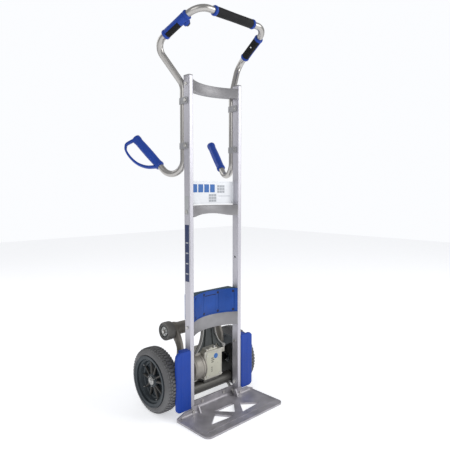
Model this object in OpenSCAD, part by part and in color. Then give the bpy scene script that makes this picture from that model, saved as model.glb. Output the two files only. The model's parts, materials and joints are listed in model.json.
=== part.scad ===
// Powered stair climbing trolley. Millimetres, +Z up, front towards -Y.
// Origin: on the ground, midway between the rails, in the plane of their front faces.

/* [Frame] */
// Overall width across the two rails
frame_w = 280; // [270:1:290]
// Height of the rails above the ground, caps left out
rail_top = 1312; // [1308:1:1330]
// Width of one rail
rail_w = 20; // [18:1:20]
// Depth of one rail
rail_d = 34; // [33:1:34]
// Radius of the hollow front of the crossbars, in plan
bow_r = 200; // [199:1:202]
// Wall of the rail profile
rail_wall = 2.4; // [2:0.2:3]

/* [Handle] */
// Outside diameter of the handle tube
tube_d = 25; // [24:0.5:25]
// Distance of the tube's axis behind the rails' front plane
tube_y = 47.5; // [47.5:0.5:49]
// Height of the top bar's axis
top_bar_z = 1527; // [1500:1:1560]
// Half the distance between the outer elbows
elbow_x = 220; // [200:1:230]
// Height of the lowest point of the lower handles' axis
low_handle_z = 948; // [930:1:970]

/* [Wheels] */
// Diameter of the main wheels
wheel_d = 260; // [256:1:260]
// Distance of the main axle behind the rails' front plane
axle_y = 133; // [133:1:136]
// Outer face of the main wheels' rims, from the centre plane
wheel_face_x = 248; // [246:1:255]
// Diameter of the small support wheels
support_d = 75; // [70:1:76]
// Radius of the main axle
axle_r = 10; // [10:1:10]

/* [Toe plate] */
// Width of the toe plate
toe_w = 420; // [400:1:440]
// Reach of the toe plate in front of the rails
toe_reach = 180; // [170:1:200]
// Thickness of the toe plate
toe_t = 8; // [7:0.5:9]

/* [Drive] */
// Module of the lift gear's teeth
gear_module = 2.75; // [2.7:0.05:2.75]
// Teeth on the lift gear
gear_teeth = 42; // [42:1:42]
// Teeth on the motor pinion
pinion_teeth = 12; // [12:1:12]
// Radius of the motor housing
motor_r = 54; // [48:1:54]

/* [Hidden] */
$fn = 72;

// clearances
fit = 0.05;                       // running and seating clearance, radial
gap = 0.4;                        // air between faces that don't touch

// rails
rail_out = frame_w / 2;           // outer face
rail_in = rail_out - rail_w;      // inner face
rail_mid = rail_out - rail_w / 2; // centre of a rail
rail_foot = toe_t + 1;            // bottom of the rails, on the toe plate's pads
cap_h = 4;
bolt_y = 18;                      // depth of all the side bolts
bolt_r = 4;
accessory_z = 603;                // height of the accessory holes
accessory_r = 4.25;
crossbar_bolt_z = [1283, 802, 350];
clamp_z = [1222, 1053];
clamp_h = 24;
clamp_reach = 4.5;                // thickness of a clamp's cheeks beside the rail
guard_bolt_z = [241, 60];
guard_z = [28, 265];
head_r = 6.5;                     // heads of the side bolts

// crossbars
bow_y = -sqrt(bow_r * bow_r - rail_in * rail_in);    // centre of the bow, so that it meets the rails' fronts
bar_depth = 26;
bar_wall = 5;
top_bar = [1261, 1300];
middle_bar = [781, 824];
middle_bar_rise = 15;
lower_bar = [317, 371];

// panel and drive cover
panel_z = [829, 921];
cover_z = [371, 472];
cover_back = 60;
cover_wall = 3;
housing_x = 84;
housing_back = 98;
housing_top = 448;
dock_floor = 392;
pack_x = 72;
pack_y = [63.5, 94.5];
pack_top = 460;
latch_x = [53, 69];
latch_z = [housing_top + 2, pack_top - 2];
screw_x = [-103, -38, 38, 103];
screw_z = [382, 460];

// wheels and lift mechanism
axle_z = wheel_d / 2;
tyre_in = wheel_face_x - 70;
tyre_out = wheel_face_x - 4;
rim_r = 101.5;
lift_y = axle_y + 14;             // axis of the support wheels at rest
lift_z = axle_z + 180;
arm_x = [104, 118];
support_x = [122, 160];
lift_tube_r = 26;
sleeve_r = 18;
plate_x = [126, 134];
hub_x = [wheel_face_x - 79, wheel_face_x - 21];

// gears: the motor lies forward of and above the main axle
gear_distance = gear_module * (gear_teeth + pinion_teeth) / 2;
motor_angle = 154.4;
motor_y = axle_y + gear_distance * cos(motor_angle);
motor_z = axle_z + gear_distance * sin(motor_angle);
gear_x = [-4, 20];
case_x = [-40, 56];
case_front = 32;
case_z = [106, 222];
case_wall = 4;
gear_room = gear_module * (gear_teeth / 2 + 1) + 2;
motor_x = [-98, -40];

// lower handle: the tube bends back and outward from its vertical run
low_turn = 19;                    // outward turn, in plan
low_bend = 55;
low_slope = 44;
low_run = 182;                    // straight length of tube after the bend
low_grip_length = 168;
low_grip_r = 18.5;
low_dir = [sin(low_turn) * cos(low_slope), cos(low_turn) * cos(low_slope), sin(low_slope)];
low_corner = [rail_mid, tube_y, low_handle_z + low_bend * (1 - tan(45 + low_slope / 2))];
low_end = low_corner + low_dir * (low_bend * tan(45 + low_slope / 2) + low_run);
guard_side = [0.73, 0.3, -0.62];  // where the knuckle guard bulges to, on the right side
guard_bar_r = 5;
// middle of the guard's bar: distance from the grip's axis, and place along it from its end
guard_line = [[9, 2.5], [42, 8], [53, 2], [64, -16], [68, -54], [62, -94], [43, -128], [10, -154]];

// corners of the tube's centre line on the right side, from the lower grip to the top bar
tube_r = tube_d / 2;
tube_wall = 2;
top_end = 98;
handle_corners = [
  low_end, low_corner, [rail_mid, tube_y, 1284], [elbow_x, 100, 1426],
  [elbow_x - 42, -97, top_bar_z], [top_end, -97, top_bar_z]
];
handle_bends = [low_bend, 60, 48, 64];
grip_length = 122;
grip_centre = 0.51;               // place of the side grips' middle between the two upper elbows
top_grip_half = 92;
collar_w = 12;
tube_sides = 18;

// ---------- helpers ----------
function unit(v) = v / norm(v);
function seat(o, z, hint) =        // matrix of a frame at o, with its Z along z and X near hint
  let (ez = unit(z), ey = unit(cross(ez, hint)), ex = cross(ey, ez))
  [[ex[0], ey[0], ez[0], o[0]], [ex[1], ey[1], ez[1], o[1]], [ex[2], ey[2], ez[2], o[2]], [0, 0, 0, 1]];

module both_sides() {
  children();
  mirror([1, 0, 0]) children();
}

module rod_x(x, r, y, z) {
  translate([x[0], y, z]) rotate([0, 90, 0]) cylinder(h = x[1] - x[0], r = r);
}

module rod_y(y, r, x, z) {
  translate([x, y[1], z]) rotate([90, 0, 0]) cylinder(h = y[1] - y[0], r = r);
}

module block(x, y, z) {
  translate([x[0], y[0], z[0]]) cube([x[1] - x[0], y[1] - y[0], z[1] - z[0]]);
}

// Outline drawn as (y, z) and extruded from x[0] to x[1]
module plate_yz(x) {
  translate([x[0], 0, 0]) rotate([90, 0, 90]) linear_extrude(x[1] - x[0]) children();
}

// Outline drawn as (x, z) and extruded from y[0] to y[1]
module plate_xz(y) {
  translate([0, y[1], 0]) rotate([90, 0, 0]) linear_extrude(y[1] - y[0]) children();
}

// Flat link: two discs joined by their common tangents
module link(a, ra, b, rb) {
  v = b - a;
  lead = atan2(v[1], v[0]);
  swing = acos((ra - rb) / norm(v));
  translate(a) circle(ra);
  translate(b) circle(rb);
  polygon([
    for (s = [1, -1], e = s > 0 ? [0, 1] : [1, 0])
      (e == 0 ? a : b) + (e == 0 ? ra : rb) * [cos(lead + s * swing), sin(lead + s * swing)]
  ]);
}

// Strip of even width along an open line, half_w to each side of it
function stride(line, i) = unit(line[i + 1] - line[i]);
function side_of(line, w) = [for (i = [0 : len(line) - 1])
  let (a = stride(line, max(i - 1, 0)), b = stride(line, min(i, len(line) - 2)), m = unit(a + b))
  line[i] + w / (m * a) * [-m[1], m[0]]];
module strip(line, half_w) {
  far = side_of(line, -half_w);
  polygon(concat(side_of(line, half_w), [for (i = [len(far) - 1 : -1 : 0]) far[i]]));
}

module round_rect(w, d, r) {
  translate([r, 0]) square([w - 2 * r, d]);
  translate([0, r]) square([w, d - 2 * r]);
  for (x = [r, w - r], y = [r, d - r]) translate([x, y]) circle(r);
}

// ---------- rails and crossbars ----------
module rail() {
  color("gainsboro")
  difference() {
    translate([rail_in, 0, rail_foot]) linear_extrude(rail_top - rail_foot) difference() {
      round_rect(rail_w, rail_d, 3.5);
      translate([rail_wall, rail_wall]) square([rail_w - 2 * rail_wall, rail_d - 2 * rail_wall]);
    }
    for (z = concat(crossbar_bolt_z, clamp_z, guard_bolt_z))
      rod_x([rail_in - 1, rail_out + 1], bolt_r + fit, bolt_y, z);
    rod_x([rail_in - 1, rail_out + 1], accessory_r, bolt_y, accessory_z);
    // hole for the toe plate's bolt
    rod_y([-1, rail_wall + 1], bolt_r + fit, rail_mid, 17);
  }
}
module rail_right() { rail(); }
module rail_left() { mirror([1, 0, 0]) rail(); }

module rail_caps() {
  color("dimgray") both_sides() {
    translate([rail_in, 0, rail_top]) linear_extrude(cap_h) round_rect(rail_w, rail_d, 3.5);
    block([rail_in + rail_wall + gap, rail_out - rail_wall - gap],
          [rail_wall + gap, rail_d - rail_wall - gap], [rail_top - 12, rail_top]);
  }
}

// Ring about the bow's axis, between two radii
module bow_ring(r0, r1, z) {
  translate([0, bow_y, z[0]]) difference() {
    cylinder(h = z[1] - z[0], r = r1, $fn = 160);
    translate([0, 0, -1]) cylinder(h = z[1] - z[0] + 2, r = r0, $fn = 160);
  }
}

// Bowed channel between the rails, open to the rear, with ribs and a solid lug at each end
module crossbar(z, bolt_z) {
  lug = 14;
  difference() {
    intersection() {
      bow_ring(bow_r, bow_r + bar_depth, z);
      block([-rail_in, rail_in], [-5, 100], [z[0] - 1, z[1] + 1]);
    }
    difference() {
      intersection() {
        bow_ring(bow_r + bar_wall, bow_r + bar_depth + 5, [z[0] + bar_wall, z[1] - bar_wall]);
        block([lug - rail_in, rail_in - lug], [-5, 120], z);
      }
      for (x = [-60, 0, 60]) block([x - 2, x + 2], [0, 100], z);
    }
    both_sides() rod_x([rail_in - lug - 1, rail_in + 1], bolt_r + fit, bolt_y, bolt_z);
  }
}
module crossbar_top() {
  color("silver") crossbar(top_bar, crossbar_bolt_z[0]);
}
module crossbar_middle() {
  arch_r = (rail_in * rail_in + middle_bar_rise * middle_bar_rise) / (2 * middle_bar_rise);
  color("silver") difference() {
    crossbar(middle_bar, crossbar_bolt_z[1]);
    // shallow arch under the bar
    translate([0, 100, middle_bar[0] + middle_bar_rise - arch_r - bar_wall])
      rotate([90, 0, 0]) cylinder(h = 200, r = arch_r, $fn = 200);
  }
}
module crossbar_lower() {
  color("silver") crossbar(lower_bar, crossbar_bolt_z[2]);
}

module side_bolt(face, tip, z) {
  rod_x([face, face + 4], head_r, bolt_y, z);
  rod_x([tip, face], bolt_r, bolt_y, z);
}
module frame_bolts() {
  color("silver") both_sides() {
    for (z = crossbar_bolt_z) side_bolt(rail_out, rail_in - 12, z);
    for (z = clamp_z) side_bolt(rail_out + clamp_reach, rail_in - clamp_reach, z);
    for (z = guard_bolt_z) {
      rod_x([rail_in - 4, rail_in], head_r, bolt_y, z);
      rod_x([rail_in - 4, rail_out + 12], bolt_r, bolt_y, z);
    }
  }
}

module name_panel() {
  half = rail_in - gap;
  color("white") block([-half + 4, half - 4], [28, 31], [panel_z[0] + 4, panel_z[1] - 4]);
  color("silver") difference() {
    block([-half, half], [26, 33], panel_z);
    block([-half + 4, half - 4], [25, 34], [panel_z[0] + 4, panel_z[1] - 4]);
  }
}

// ---------- drive cover, controls and battery ----------
module cover_screw_places() {
  for (x = screw_x, z = screw_z)
    translate([0, bow_y, z]) rotate([0, 0, -asin(x / bow_r)]) translate([0, bow_r, 0]) rotate([-90, 0, 0])
      children();
}

module drive_cover() {
  half = rail_in - gap;
  color("royalblue") difference() {
    intersection() {
      bow_ring(bow_r, bow_r + 200, [cover_z[0] + gap, cover_z[1]]);
      block([-half, half], [-20, cover_back], cover_z);
    }
    intersection() {
      bow_ring(bow_r + cover_wall, bow_r + 200, [cover_z[0] + cover_wall, cover_z[1] - cover_wall]);
      block([cover_wall - half, half - cover_wall], [-20, cover_back + 1], cover_z);
    }
    cover_screw_places() {
      translate([0, 0, -1]) cylinder(h = 6, r = 1.9);
      translate([0, 0, -1]) cylinder(h = 2.2, r = 4.4);
    }
  }
}

module cover_screws() {
  color("midnightblue") cover_screw_places() {
    translate([0, 0, 1.2]) cylinder(h = 8, r = 1.8);
    translate([0, 0, 0.2]) cylinder(h = 1, r = 4.2);
  }
}

module control_housing() {
  lid = rail_in - cover_wall - 2 * gap;
  color("darkslategray") difference() {
    union() {
      block([-housing_x, housing_x], [cover_back, housing_back], [cover_z[0], housing_top]);
      // lid that closes the back of the drive cover
      block([-lid, lid], [cover_back - 2.5, cover_back],
            [cover_z[0] + cover_wall + gap, cover_z[1] - cover_wall - gap]);
    }
    block([-pack_x - gap, pack_x + gap], [pack_y[0] - gap, pack_y[1] + gap], [dock_floor, housing_top + 1]);
    // seats of the power switch and the charge socket
    block([52, 68], [housing_back - 10, housing_back + 1], [376, 386]);
    rod_y([housing_back - 10, housing_back + 1], 7, -60, 381);
  }
}

module control_board() {
  color("darkgreen") block([-80, 80], [50, 51.6], [385, 455]);
  color("black") for (x = [-50, -10, 40]) block([x, x + 22], [51.6, 57], [400, 430]);
}

module battery_pack() {
  color("royalblue") difference() {
    block([-pack_x, pack_x], pack_y, [dock_floor, pack_top]);
    // hand recess under the pack's carrying bar
    block([-50, 50], [pack_y[0] + 8, pack_y[1] - 9], [pack_top - 30, pack_top + 1]);
    block([-50, 50], [pack_y[0] + 8, pack_y[1] + 1], [pack_top - 30, pack_top - 12]);
    block(latch_x, [pack_y[1] - 10, pack_y[1] + 1], latch_z);
  }
}

module battery_latch() {
  color("black")
    block([latch_x[0] + gap, latch_x[1] - gap], [pack_y[1] - 5, pack_y[1] + 2.5],
          [latch_z[0] + gap, latch_z[1] - gap]);
}

module power_switch() {
  color("red") {
    plate_xz([housing_back - 6, housing_back + 1]) translate([52.5, 377]) square([15, 8]);
    plate_yz([52.5, 67.5])
      polygon([[housing_back + 1, 377], [housing_back + 4, 377], [housing_back + 1, 385]]);
  }
}

module charge_socket() {
  color("black") difference() {
    rod_y([housing_back - 10, housing_back + 2], 7 - fit, -60, 381);
    rod_y([housing_back - 7, housing_back + 3], 4, -60, 381);
  }
}

// ---------- wheel guards and toe plate ----------
module wheel_guard() {
  side = 209;
  corner = 20;
  low = guard_z[0];
  high = guard_z[1];
  color("mediumblue") difference() {
    plate_xz([-3, 31]) polygon([
      [rail_out, low], [side - corner, low], [side, low + corner],
      [side, high - corner], [side - corner, high], [rail_out, high]
    ]);
    // room for the wheel
    rod_x([tyre_in - 4, wheel_face_x], wheel_d / 2 + 3, axle_y, axle_z);
    // hollow back
    block([rail_out + 5, tyre_in - 9], [4, 32], [low + 8, high - 8]);
    for (z = guard_bolt_z) rod_x([rail_out - 1, rail_out + 14], bolt_r + fit, bolt_y, z);
    // grooves between the ridges of the front face
    for (x = [156, 168, 180, 192]) block([x, x + 1.6], [-4, -2.2], [low + 16, high - 16]);
  }
}
module wheel_guard_right() { wheel_guard(); }
module wheel_guard_left() { mirror([1, 0, 0]) wheel_guard(); }

module toe_outline() {
  half = toe_w / 2;
  corner = 24;
  translate([-half, -toe_reach + corner]) square([toe_w, toe_reach - corner]);
  translate([-half + corner, -toe_reach]) square([toe_w - 2 * corner, toe_reach]);
  for (s = [-1, 1]) translate([s * (half - corner), -toe_reach + corner]) circle(corner);
  translate([-rail_out, -1]) square([frame_w, rail_d + 1]);
}

module toe_plate() {
  half = toe_w / 2;
  color("slategray") difference() {
    union() {
      linear_extrude(toe_t) difference() {
        toe_outline();
        // truss of triangular cut-outs
        polygon([[-54, -43], [54, -43], [0, -104]]);
        for (s = [-1, 1]) polygon([[s * 70, -63], [s * 26, -123], [s * 134, -114]]);
      }
      // upstands: high at the rails, tapered under the wheel guards, one long wall between the rails
      both_sides() plate_xz([-5, 0]) polygon([
        [97, toe_t - 1], [half, toe_t - 1], [half, 13], [rail_out + 34, guard_z[0] - 0.5],
        [rail_out - gap, guard_z[0] - 0.5], [rail_out - gap, 38], [97, 38]
      ]);
      // pads under the rails
      both_sides() block([rail_in - 2, rail_out], [0, rail_d], [toe_t - 1, rail_foot]);
      block([gap - rail_in, rail_in - gap], [24, 30], [toe_t - 1, 42]);
    }
    // bevel of the front edge
    translate([0, -toe_reach, toe_t]) rotate([18, 0, 0]) translate([-half - 1, -20, 0])
      cube([toe_w + 2, 34, 12]);
    for (x = [-1, 1]) rod_y([-6, 1], bolt_r + fit, x * rail_mid, 17);
    for (x = [-60, 60]) rod_y([23, 31], bolt_r + fit, x, 30);
  }
}

module toe_plate_bolts() {
  color("silver") {
    for (x = [-1, 1]) {
      rod_y([-8, -5], head_r, x * rail_mid, 17);
      rod_y([-5, 6], bolt_r, x * rail_mid, 17);
    }
    for (x = [-60, 60]) {
      rod_y([21, 24], head_r, x, 30);
      rod_y([24, 34], bolt_r, x, 30);
    }
  }
}

// ---------- handle ----------
// Angle turned at corner i, and the length of straight tube that its bend uses up
function turn(i) = acos(unit(handle_corners[i] - handle_corners[i - 1])
                        * unit(handle_corners[i + 1] - handle_corners[i]));

// Points of the tube's centre line along the bend at corner i, one every 10 degrees or less
function bend(i) =
  let (into = unit(handle_corners[i] - handle_corners[i - 1]),
       out = unit(handle_corners[i + 1] - handle_corners[i]),
       spin = unit(cross(into, out)),
       r = handle_bends[i - 1],
       start = handle_corners[i] - into * r * tan(turn(i) / 2),
       arm = -cross(spin, into) * r,
       steps = ceil(turn(i) / 10))
  [for (k = [0 : steps]) let (a = turn(i) * k / steps)
    start - arm + arm * cos(a) + cross(spin, arm) * sin(a)];

tube_route = concat([handle_corners[0]], [for (i = [1 : 4]) each bend(i)], [handle_corners[5]]);
route_end = len(tube_route) - 1;
function heading(i) = unit(tube_route[min(i + 1, route_end)] - tube_route[max(i - 1, 0)]);
function level(v, along) = unit(v - along * (v * along));

// One side vector for each route point, carried along without twist
tube_sideways = [for (i = 0, v = level([1, 0, 0], heading(0)); i <= route_end;
                      i = i + 1, v = level(v, heading(min(i, route_end)))) v];

function ring(i, r) = [for (k = [0 : tube_sides - 1]) let (a = 360 * k / tube_sides)
  tube_route[i] + r * (tube_sideways[i] * cos(a) + cross(heading(i), tube_sideways[i]) * sin(a))];

// Triangles between the ring of points that starts at a and the one that starts at b
function band(a, b) = [for (k = [0 : tube_sides - 1]) let (n = (k + 1) % tube_sides)
  each [[a + k, b + k, b + n], [a + k, b + n, a + n]]];

module side_tube() {
  rings = route_end + 1;
  inner = rings * tube_sides;
  last = route_end * tube_sides;
  color("silver") polyhedron(
    points = concat([for (i = [0 : route_end]) each ring(i, tube_r)],
                    [for (i = [0 : route_end]) each ring(i, tube_r - tube_wall)]),
    faces = concat(
      [for (i = [0 : route_end - 1]) each band(i * tube_sides, (i + 1) * tube_sides)],
      [for (i = [0 : route_end - 1]) each band(inner + (i + 1) * tube_sides, inner + i * tube_sides)],
      band(inner, 0),
      band(last, inner + last)));
}
module side_tube_right() { side_tube(); }
module side_tube_left() { mirror([1, 0, 0]) side_tube(); }

module top_tube() {
  bar = handle_corners[5];
  color("silver") difference() {
    rod_x([-bar[0], bar[0]], tube_r, bar[1], bar[2]);
    rod_x([-bar[0] - 1, bar[0] + 1], tube_r - tube_wall, bar[1], bar[2]);
  }
}

module top_grip() {
  bar = handle_corners[5];
  color("black") difference() {
    rod_x([-top_grip_half, top_grip_half], 18, bar[1], bar[2]);
    rod_x([-top_grip_half - 1, top_grip_half + 1], tube_r + fit, bar[1], bar[2]);
  }
}

// Frame at the middle of a side grip: Z up the tube, X to the inner underside
module side_grip_frame() {
  low = handle_corners[3];
  high = handle_corners[4];
  multmatrix(seat(low + (high - low) * grip_centre, high - low, [-1, 0, -0.55])) children();
}

module tube_ring(h, r) {
  difference() {
    translate([0, 0, -h / 2]) cylinder(h = h, r = r);
    translate([0, 0, -h / 2 - 1]) cylinder(h = h + 2, r = tube_r + fit);
  }
}

module grip_collars() {
  color("navy") {
    both_sides() translate([top_grip_half + collar_w / 2, handle_corners[5][1], top_bar_z])
      rotate([0, 90, 0]) tube_ring(collar_w, 18.5);
    both_sides() side_grip_frame() for (s = [-1, 1])
      translate([0, 0, s * (grip_length - collar_w) / 2]) tube_ring(collar_w, 19);
  }
}

// Part of a sleeve on the tube between two radii, over an angle centred on the frame's X
module sleeve_arc(h, r0, r1, arc) {
  rotate([0, 0, -arc / 2]) translate([0, 0, -h / 2])
    rotate_extrude(angle = arc) translate([r0, 0]) square([r1 - r0, h]);
}

inlay_arc = 150;
inlay_turn = 50;                  // turn of the control grip's inlay towards the front
grip_inner = grip_length - 2 * collar_w;
module grip_shell(h) {
  rotate([0, 0, 180]) sleeve_arc(h, tube_r + fit, 17.5, 360 - inlay_arc);
}
module grip_inlay(h) {
  sleeve_arc(h, tube_r + fit, 17, inlay_arc - 0.6);
}

switch_z = 34;                    // place of the direction switch along the control grip
switch_part = 30;                 // length of the control grip that carries it
module control_grip_shell() {
  color("royalblue") mirror([1, 0, 0]) side_grip_frame() difference() {
    union() {
      translate([0, 0, -grip_inner / 2]) cylinder(h = grip_inner, r = 17.5);
      translate([13, 0, switch_z]) rotate([0, 90, 0]) cylinder(h = 12, r = 14);
    }
    translate([0, 0, -grip_inner / 2 - 1]) cylinder(h = grip_inner + 2, r = tube_r + fit);
    translate([18, 0, switch_z]) rotate([0, 90, 0]) cylinder(h = 15, r = 11.5);
    // room for the inlay
    translate([0, 0, -switch_part / 2 - 5]) rotate([0, 0, inlay_turn])
      sleeve_arc(grip_inner - switch_part + 10, tube_r - 2, 25, inlay_arc);
  }
}
module control_grip_inlay() {
  color("black") mirror([1, 0, 0]) side_grip_frame()
    translate([0, 0, -switch_part / 2 - 0.2]) rotate([0, 0, inlay_turn])
      grip_inlay(grip_inner - switch_part - 0.4);
}
module direction_switch() {
  color("black") mirror([1, 0, 0]) side_grip_frame()
    translate([19.5, 0, switch_z]) rotate([0, 90, 0]) cylinder(h = 12, r = 9.5);
}
module plain_grip_shell() {
  color("royalblue") side_grip_frame() grip_shell(grip_inner);
}
module plain_grip_inlay() {
  color("black") side_grip_frame() difference() {
    grip_inlay(grip_inner);
    translate([14, 0, 12]) rotate([0, 90, 0]) cylinder(h = 6, r = 3);
  }
}
module status_light() {
  color("white") side_grip_frame() translate([14, 0, 12]) rotate([0, 90, 0]) cylinder(h = 4, r = 3 - fit);
}

module handle_clamps() {
  color("gray") both_sides() for (z = clamp_z) translate([0, 0, z - clamp_h / 2]) difference() {
    union() {
      translate([rail_mid, tube_y, 0]) cylinder(h = clamp_h, r = tube_r + 3);
      block([rail_in - clamp_reach, rail_out + clamp_reach], [8, tube_y], [0, clamp_h]);
    }
    translate([rail_mid, tube_y, -1]) cylinder(h = clamp_h + 2, r = tube_r + fit);
    block([rail_in - fit, rail_out + fit], [0, rail_d + fit], [-1, clamp_h + 1]);
    rod_x([rail_in - 20, rail_out + 20], bolt_r + fit, bolt_y, clamp_h / 2);
  }
}

module lower_grip() {
  color("mediumblue") multmatrix(seat(low_end, low_dir, guard_side)) difference() {
    union() {
      translate([0, 0, 8 - low_grip_length]) cylinder(h = low_grip_length, r = low_grip_r);
      plate_xz([-7, 7]) strip(guard_line, guard_bar_r);
    }
    translate([0, 0, -low_grip_length - 1]) cylinder(h = low_grip_length + 1 + fit, r = tube_r + fit);
  }
}
module lower_grip_right() { lower_grip(); }
module lower_grip_left() { mirror([1, 0, 0]) lower_grip(); }

// ---------- gearbox, motor and gears ----------
// Half the angle of a tooth at radius r, with room for backlash
function roll(r, base) = let (a = acos(min(1, base / r))) tan(a) - a * PI / 180;
function half_tooth(r, n, m) =
  let (pitch = m * n / 2, base = pitch * cos(20))
  (0.84 * PI / (2 * n) + roll(pitch, base) - roll(max(r, base), base)) * 180 / PI;

module gear(n, m, x, shift) {
  pitch = m * n / 2;
  radii = [pitch - 1.25 * m, pitch - 0.6 * m, pitch, pitch + 0.45 * m, pitch + 0.85 * m];
  rotate([90, 0, 90]) translate([0, 0, x[0]]) linear_extrude(x[1] - x[0]) polygon([
    for (i = [0 : n - 1], s = [-1, 1], k = [0 : 4])
      let (r = radii[s < 0 ? k : 4 - k], a = shift + i * 360 / n + s * half_tooth(r, n, m))
      r * [cos(a), sin(a)]
  ]);
}

module lift_gear() {
  color("darkgray") translate([0, axle_y, axle_z]) difference() {
    gear(gear_teeth, gear_module, gear_x, motor_angle);
    rod_x([gear_x[0] - 1, gear_x[1] + 1], sleeve_r + fit, 0, 0);
  }
}

shaft_r = 7;
module drive_pinion() {
  color("goldenrod") translate([0, motor_y, motor_z]) difference() {
    gear(pinion_teeth, gear_module, gear_x, motor_angle + 180 + 180 / pinion_teeth);
    rod_x([gear_x[0] - 1, gear_x[1] + 1], shaft_r + fit, 0, 0);
  }
}

module motor_rotor() {
  color("darkgray") {
    rod_x([motor_x[0] + 8, gear_x[1] + 8], shaft_r, motor_y, motor_z);
    rod_x([motor_x[0] + 14, motor_x[1] - 12], 40, motor_y, motor_z);
  }
}

module motor_housing() {
  color("tan") difference() {
    union() {
      rod_x(motor_x, motor_r, motor_y, motor_z);
      // pad under the hanger's left foot
      block([-76, -48], [48, 62], [motor_z + 30, 222]);
    }
    rod_x([motor_x[0] + 6, motor_x[1] - 6], motor_r - 6, motor_y, motor_z);
    rod_x([motor_x[1] - 7, motor_x[1] + 1], shaft_r + 0.5, motor_y, motor_z);
    // cooling grooves
    for (x = [motor_x[0] + 12 : 9 : motor_x[1] - 14]) translate([x, motor_y, motor_z]) rotate([0, 90, 0])
      difference() {
        cylinder(h = 3, r = motor_r + 1);
        cylinder(h = 3, r = motor_r - 2.5);
      }
  }
}

module case_outline(grow) {
  translate([axle_y, axle_z]) circle(gear_room + grow);
  translate([case_front + case_wall - grow, case_z[0] + case_wall - grow])
    square([86 + 2 * grow, case_z[1] - case_z[0] - 2 * case_wall + 2 * grow]);
}

module gearbox_housing() {
  color("tan") difference() {
    plate_yz([case_x[0], case_x[1] - 6]) case_outline(case_wall);
    plate_yz([case_x[0] + case_wall, case_x[1]]) case_outline(0);
    rod_x([case_x[0] - 1, case_x[1]], sleeve_r + 0.5, axle_y, axle_z);
    rod_x([case_x[0] - 1, 0], shaft_r + 0.5, motor_y, motor_z);
    case_screw_places() rod_x([case_x[1] - 20, case_x[1]], 2.5 + fit, 0, 0);
  }
}

module case_screw_places() {
  for (p = [[case_front + 5, 111], [case_front + 5, 217], [112, 217]]) translate([0, p[0], p[1]]) children();
}

module gearbox_cover() {
  color("wheat") difference() {
    union() {
      plate_yz([case_x[1] - 6, case_x[1]]) case_outline(case_wall);
      // ear under the hanger's right foot
      block([case_x[1] - 2, 86], [46, 62], [196, 216]);
    }
    rod_x([case_x[1] - 7, case_x[1] + 1], sleeve_r + 0.5, axle_y, axle_z);
    case_screw_places() rod_x([case_x[1] - 20, case_x[1] + 1], 2.5 + fit, 0, 0);
  }
}

module gearbox_screws() {
  color("silver") case_screw_places() {
    rod_x([case_x[1], case_x[1] + 3], 4.5, 0, 0);
    rod_x([case_x[1] - 5.5, case_x[1]], 2.5, 0, 0);
  }
}

module hanger() {
  bottom = lower_bar[0];
  color("dimgray") plate_xz([50, 58]) polygon([
    [-37, bottom], [58, bottom], [86, 216], [60, 216], [48, 238], [-34, 238], [-48, 222], [-76, 222]
  ]);
  // flanges along both slanted edges
  color("gray") {
    plate_xz([42, 50]) polygon([[-37, bottom], [-32, bottom], [-70, 222], [-76, 222]]);
    plate_xz([42, 50]) polygon([[53, bottom], [58, bottom], [86, 216], [80, 216]]);
    plate_xz([44, 50]) polygon([[-18, bottom], [-14, bottom], [-24, 238], [-28, 238]]);
    plate_xz([44, 50]) polygon([[34, bottom], [38, bottom], [44, 238], [40, 238]]);
  }
}

// ---------- axle, plates and lift frame ----------
module axle_plates() {
  color("silver") both_sides() difference() {
    union() {
      plate_yz(plate_x) {
        polygon([
          [rail_d, 44], [rail_d, 222], [60, 218], [axle_y, axle_z + 38], [axle_y, axle_z - 38], [67, 52]
        ]);
        translate([axle_y, axle_z]) circle(38);
      }
      block([rail_in, rail_out], [rail_d, 37.5], [44, 222]);
      rod_x([plate_x[0], hub_x[0] - 0.5], 16, axle_y, axle_z);
    }
    rod_x([plate_x[0] - 1, hub_x[0]], axle_r + fit, axle_y, axle_z);
    rod_x([plate_x[0] - 1, plate_x[1] + 1], 22, 78, 150);
  }
}

module chassis_tube() {
  color("dimgray") difference() {
    rod_x([-plate_x[0], plate_x[0]], 24, 62, 71);
    rod_x([-plate_x[0] - 1, plate_x[0] + 1], 20, 62, 71);
  }
}

module main_axle() {
  color("silver") rod_x([-hub_x[1] - 8, hub_x[1] + 8], axle_r, axle_y, axle_z);
}

module axle_nuts() {
  color("silver") both_sides() difference() {
    rod_x([hub_x[1] + 0.5, hub_x[1] + 8], 15, axle_y, axle_z);
    rod_x([hub_x[1], hub_x[1] + 9], axle_r + fit, axle_y, axle_z);
  }
}

module lift_sleeve() {
  color("darkgray") difference() {
    rod_x([-arm_x[1], arm_x[1]], sleeve_r, axle_y, axle_z);
    rod_x([-arm_x[1] - 1, arm_x[1] + 1], axle_r + fit, axle_y, axle_z);
  }
}

support_axle_r = 8;
module lift_frame() {
  hub = [axle_y, axle_z];
  knee = [axle_y - 33, axle_z + 102];
  top = [lift_y, lift_z];
  color("darkkhaki") difference() {
    union() {
      both_sides() {
        plate_yz(arm_x) {
          link(hub, 27, knee, 17);
          link(knee, 17, top, 28);
        }
        rod_x([arm_x[1], support_x[1] + 4], support_axle_r, lift_y, lift_z);
      }
      rod_x([-arm_x[0], arm_x[0]], lift_tube_r, lift_y, lift_z);
    }
    rod_x([2 - arm_x[0], arm_x[0] - 2], lift_tube_r - 5, lift_y, lift_z);
    rod_x([-arm_x[1] - 1, arm_x[1] + 1], sleeve_r + fit, axle_y, axle_z);
  }
}

// ---------- wheels ----------
// Body of revolution about an axis along X at (y, z), from an outline of (radius, x)
module turned(y, z) {
  translate([0, y, z]) rotate([0, 90, 0]) rotate_extrude($fn = 120) children();
}

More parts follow.
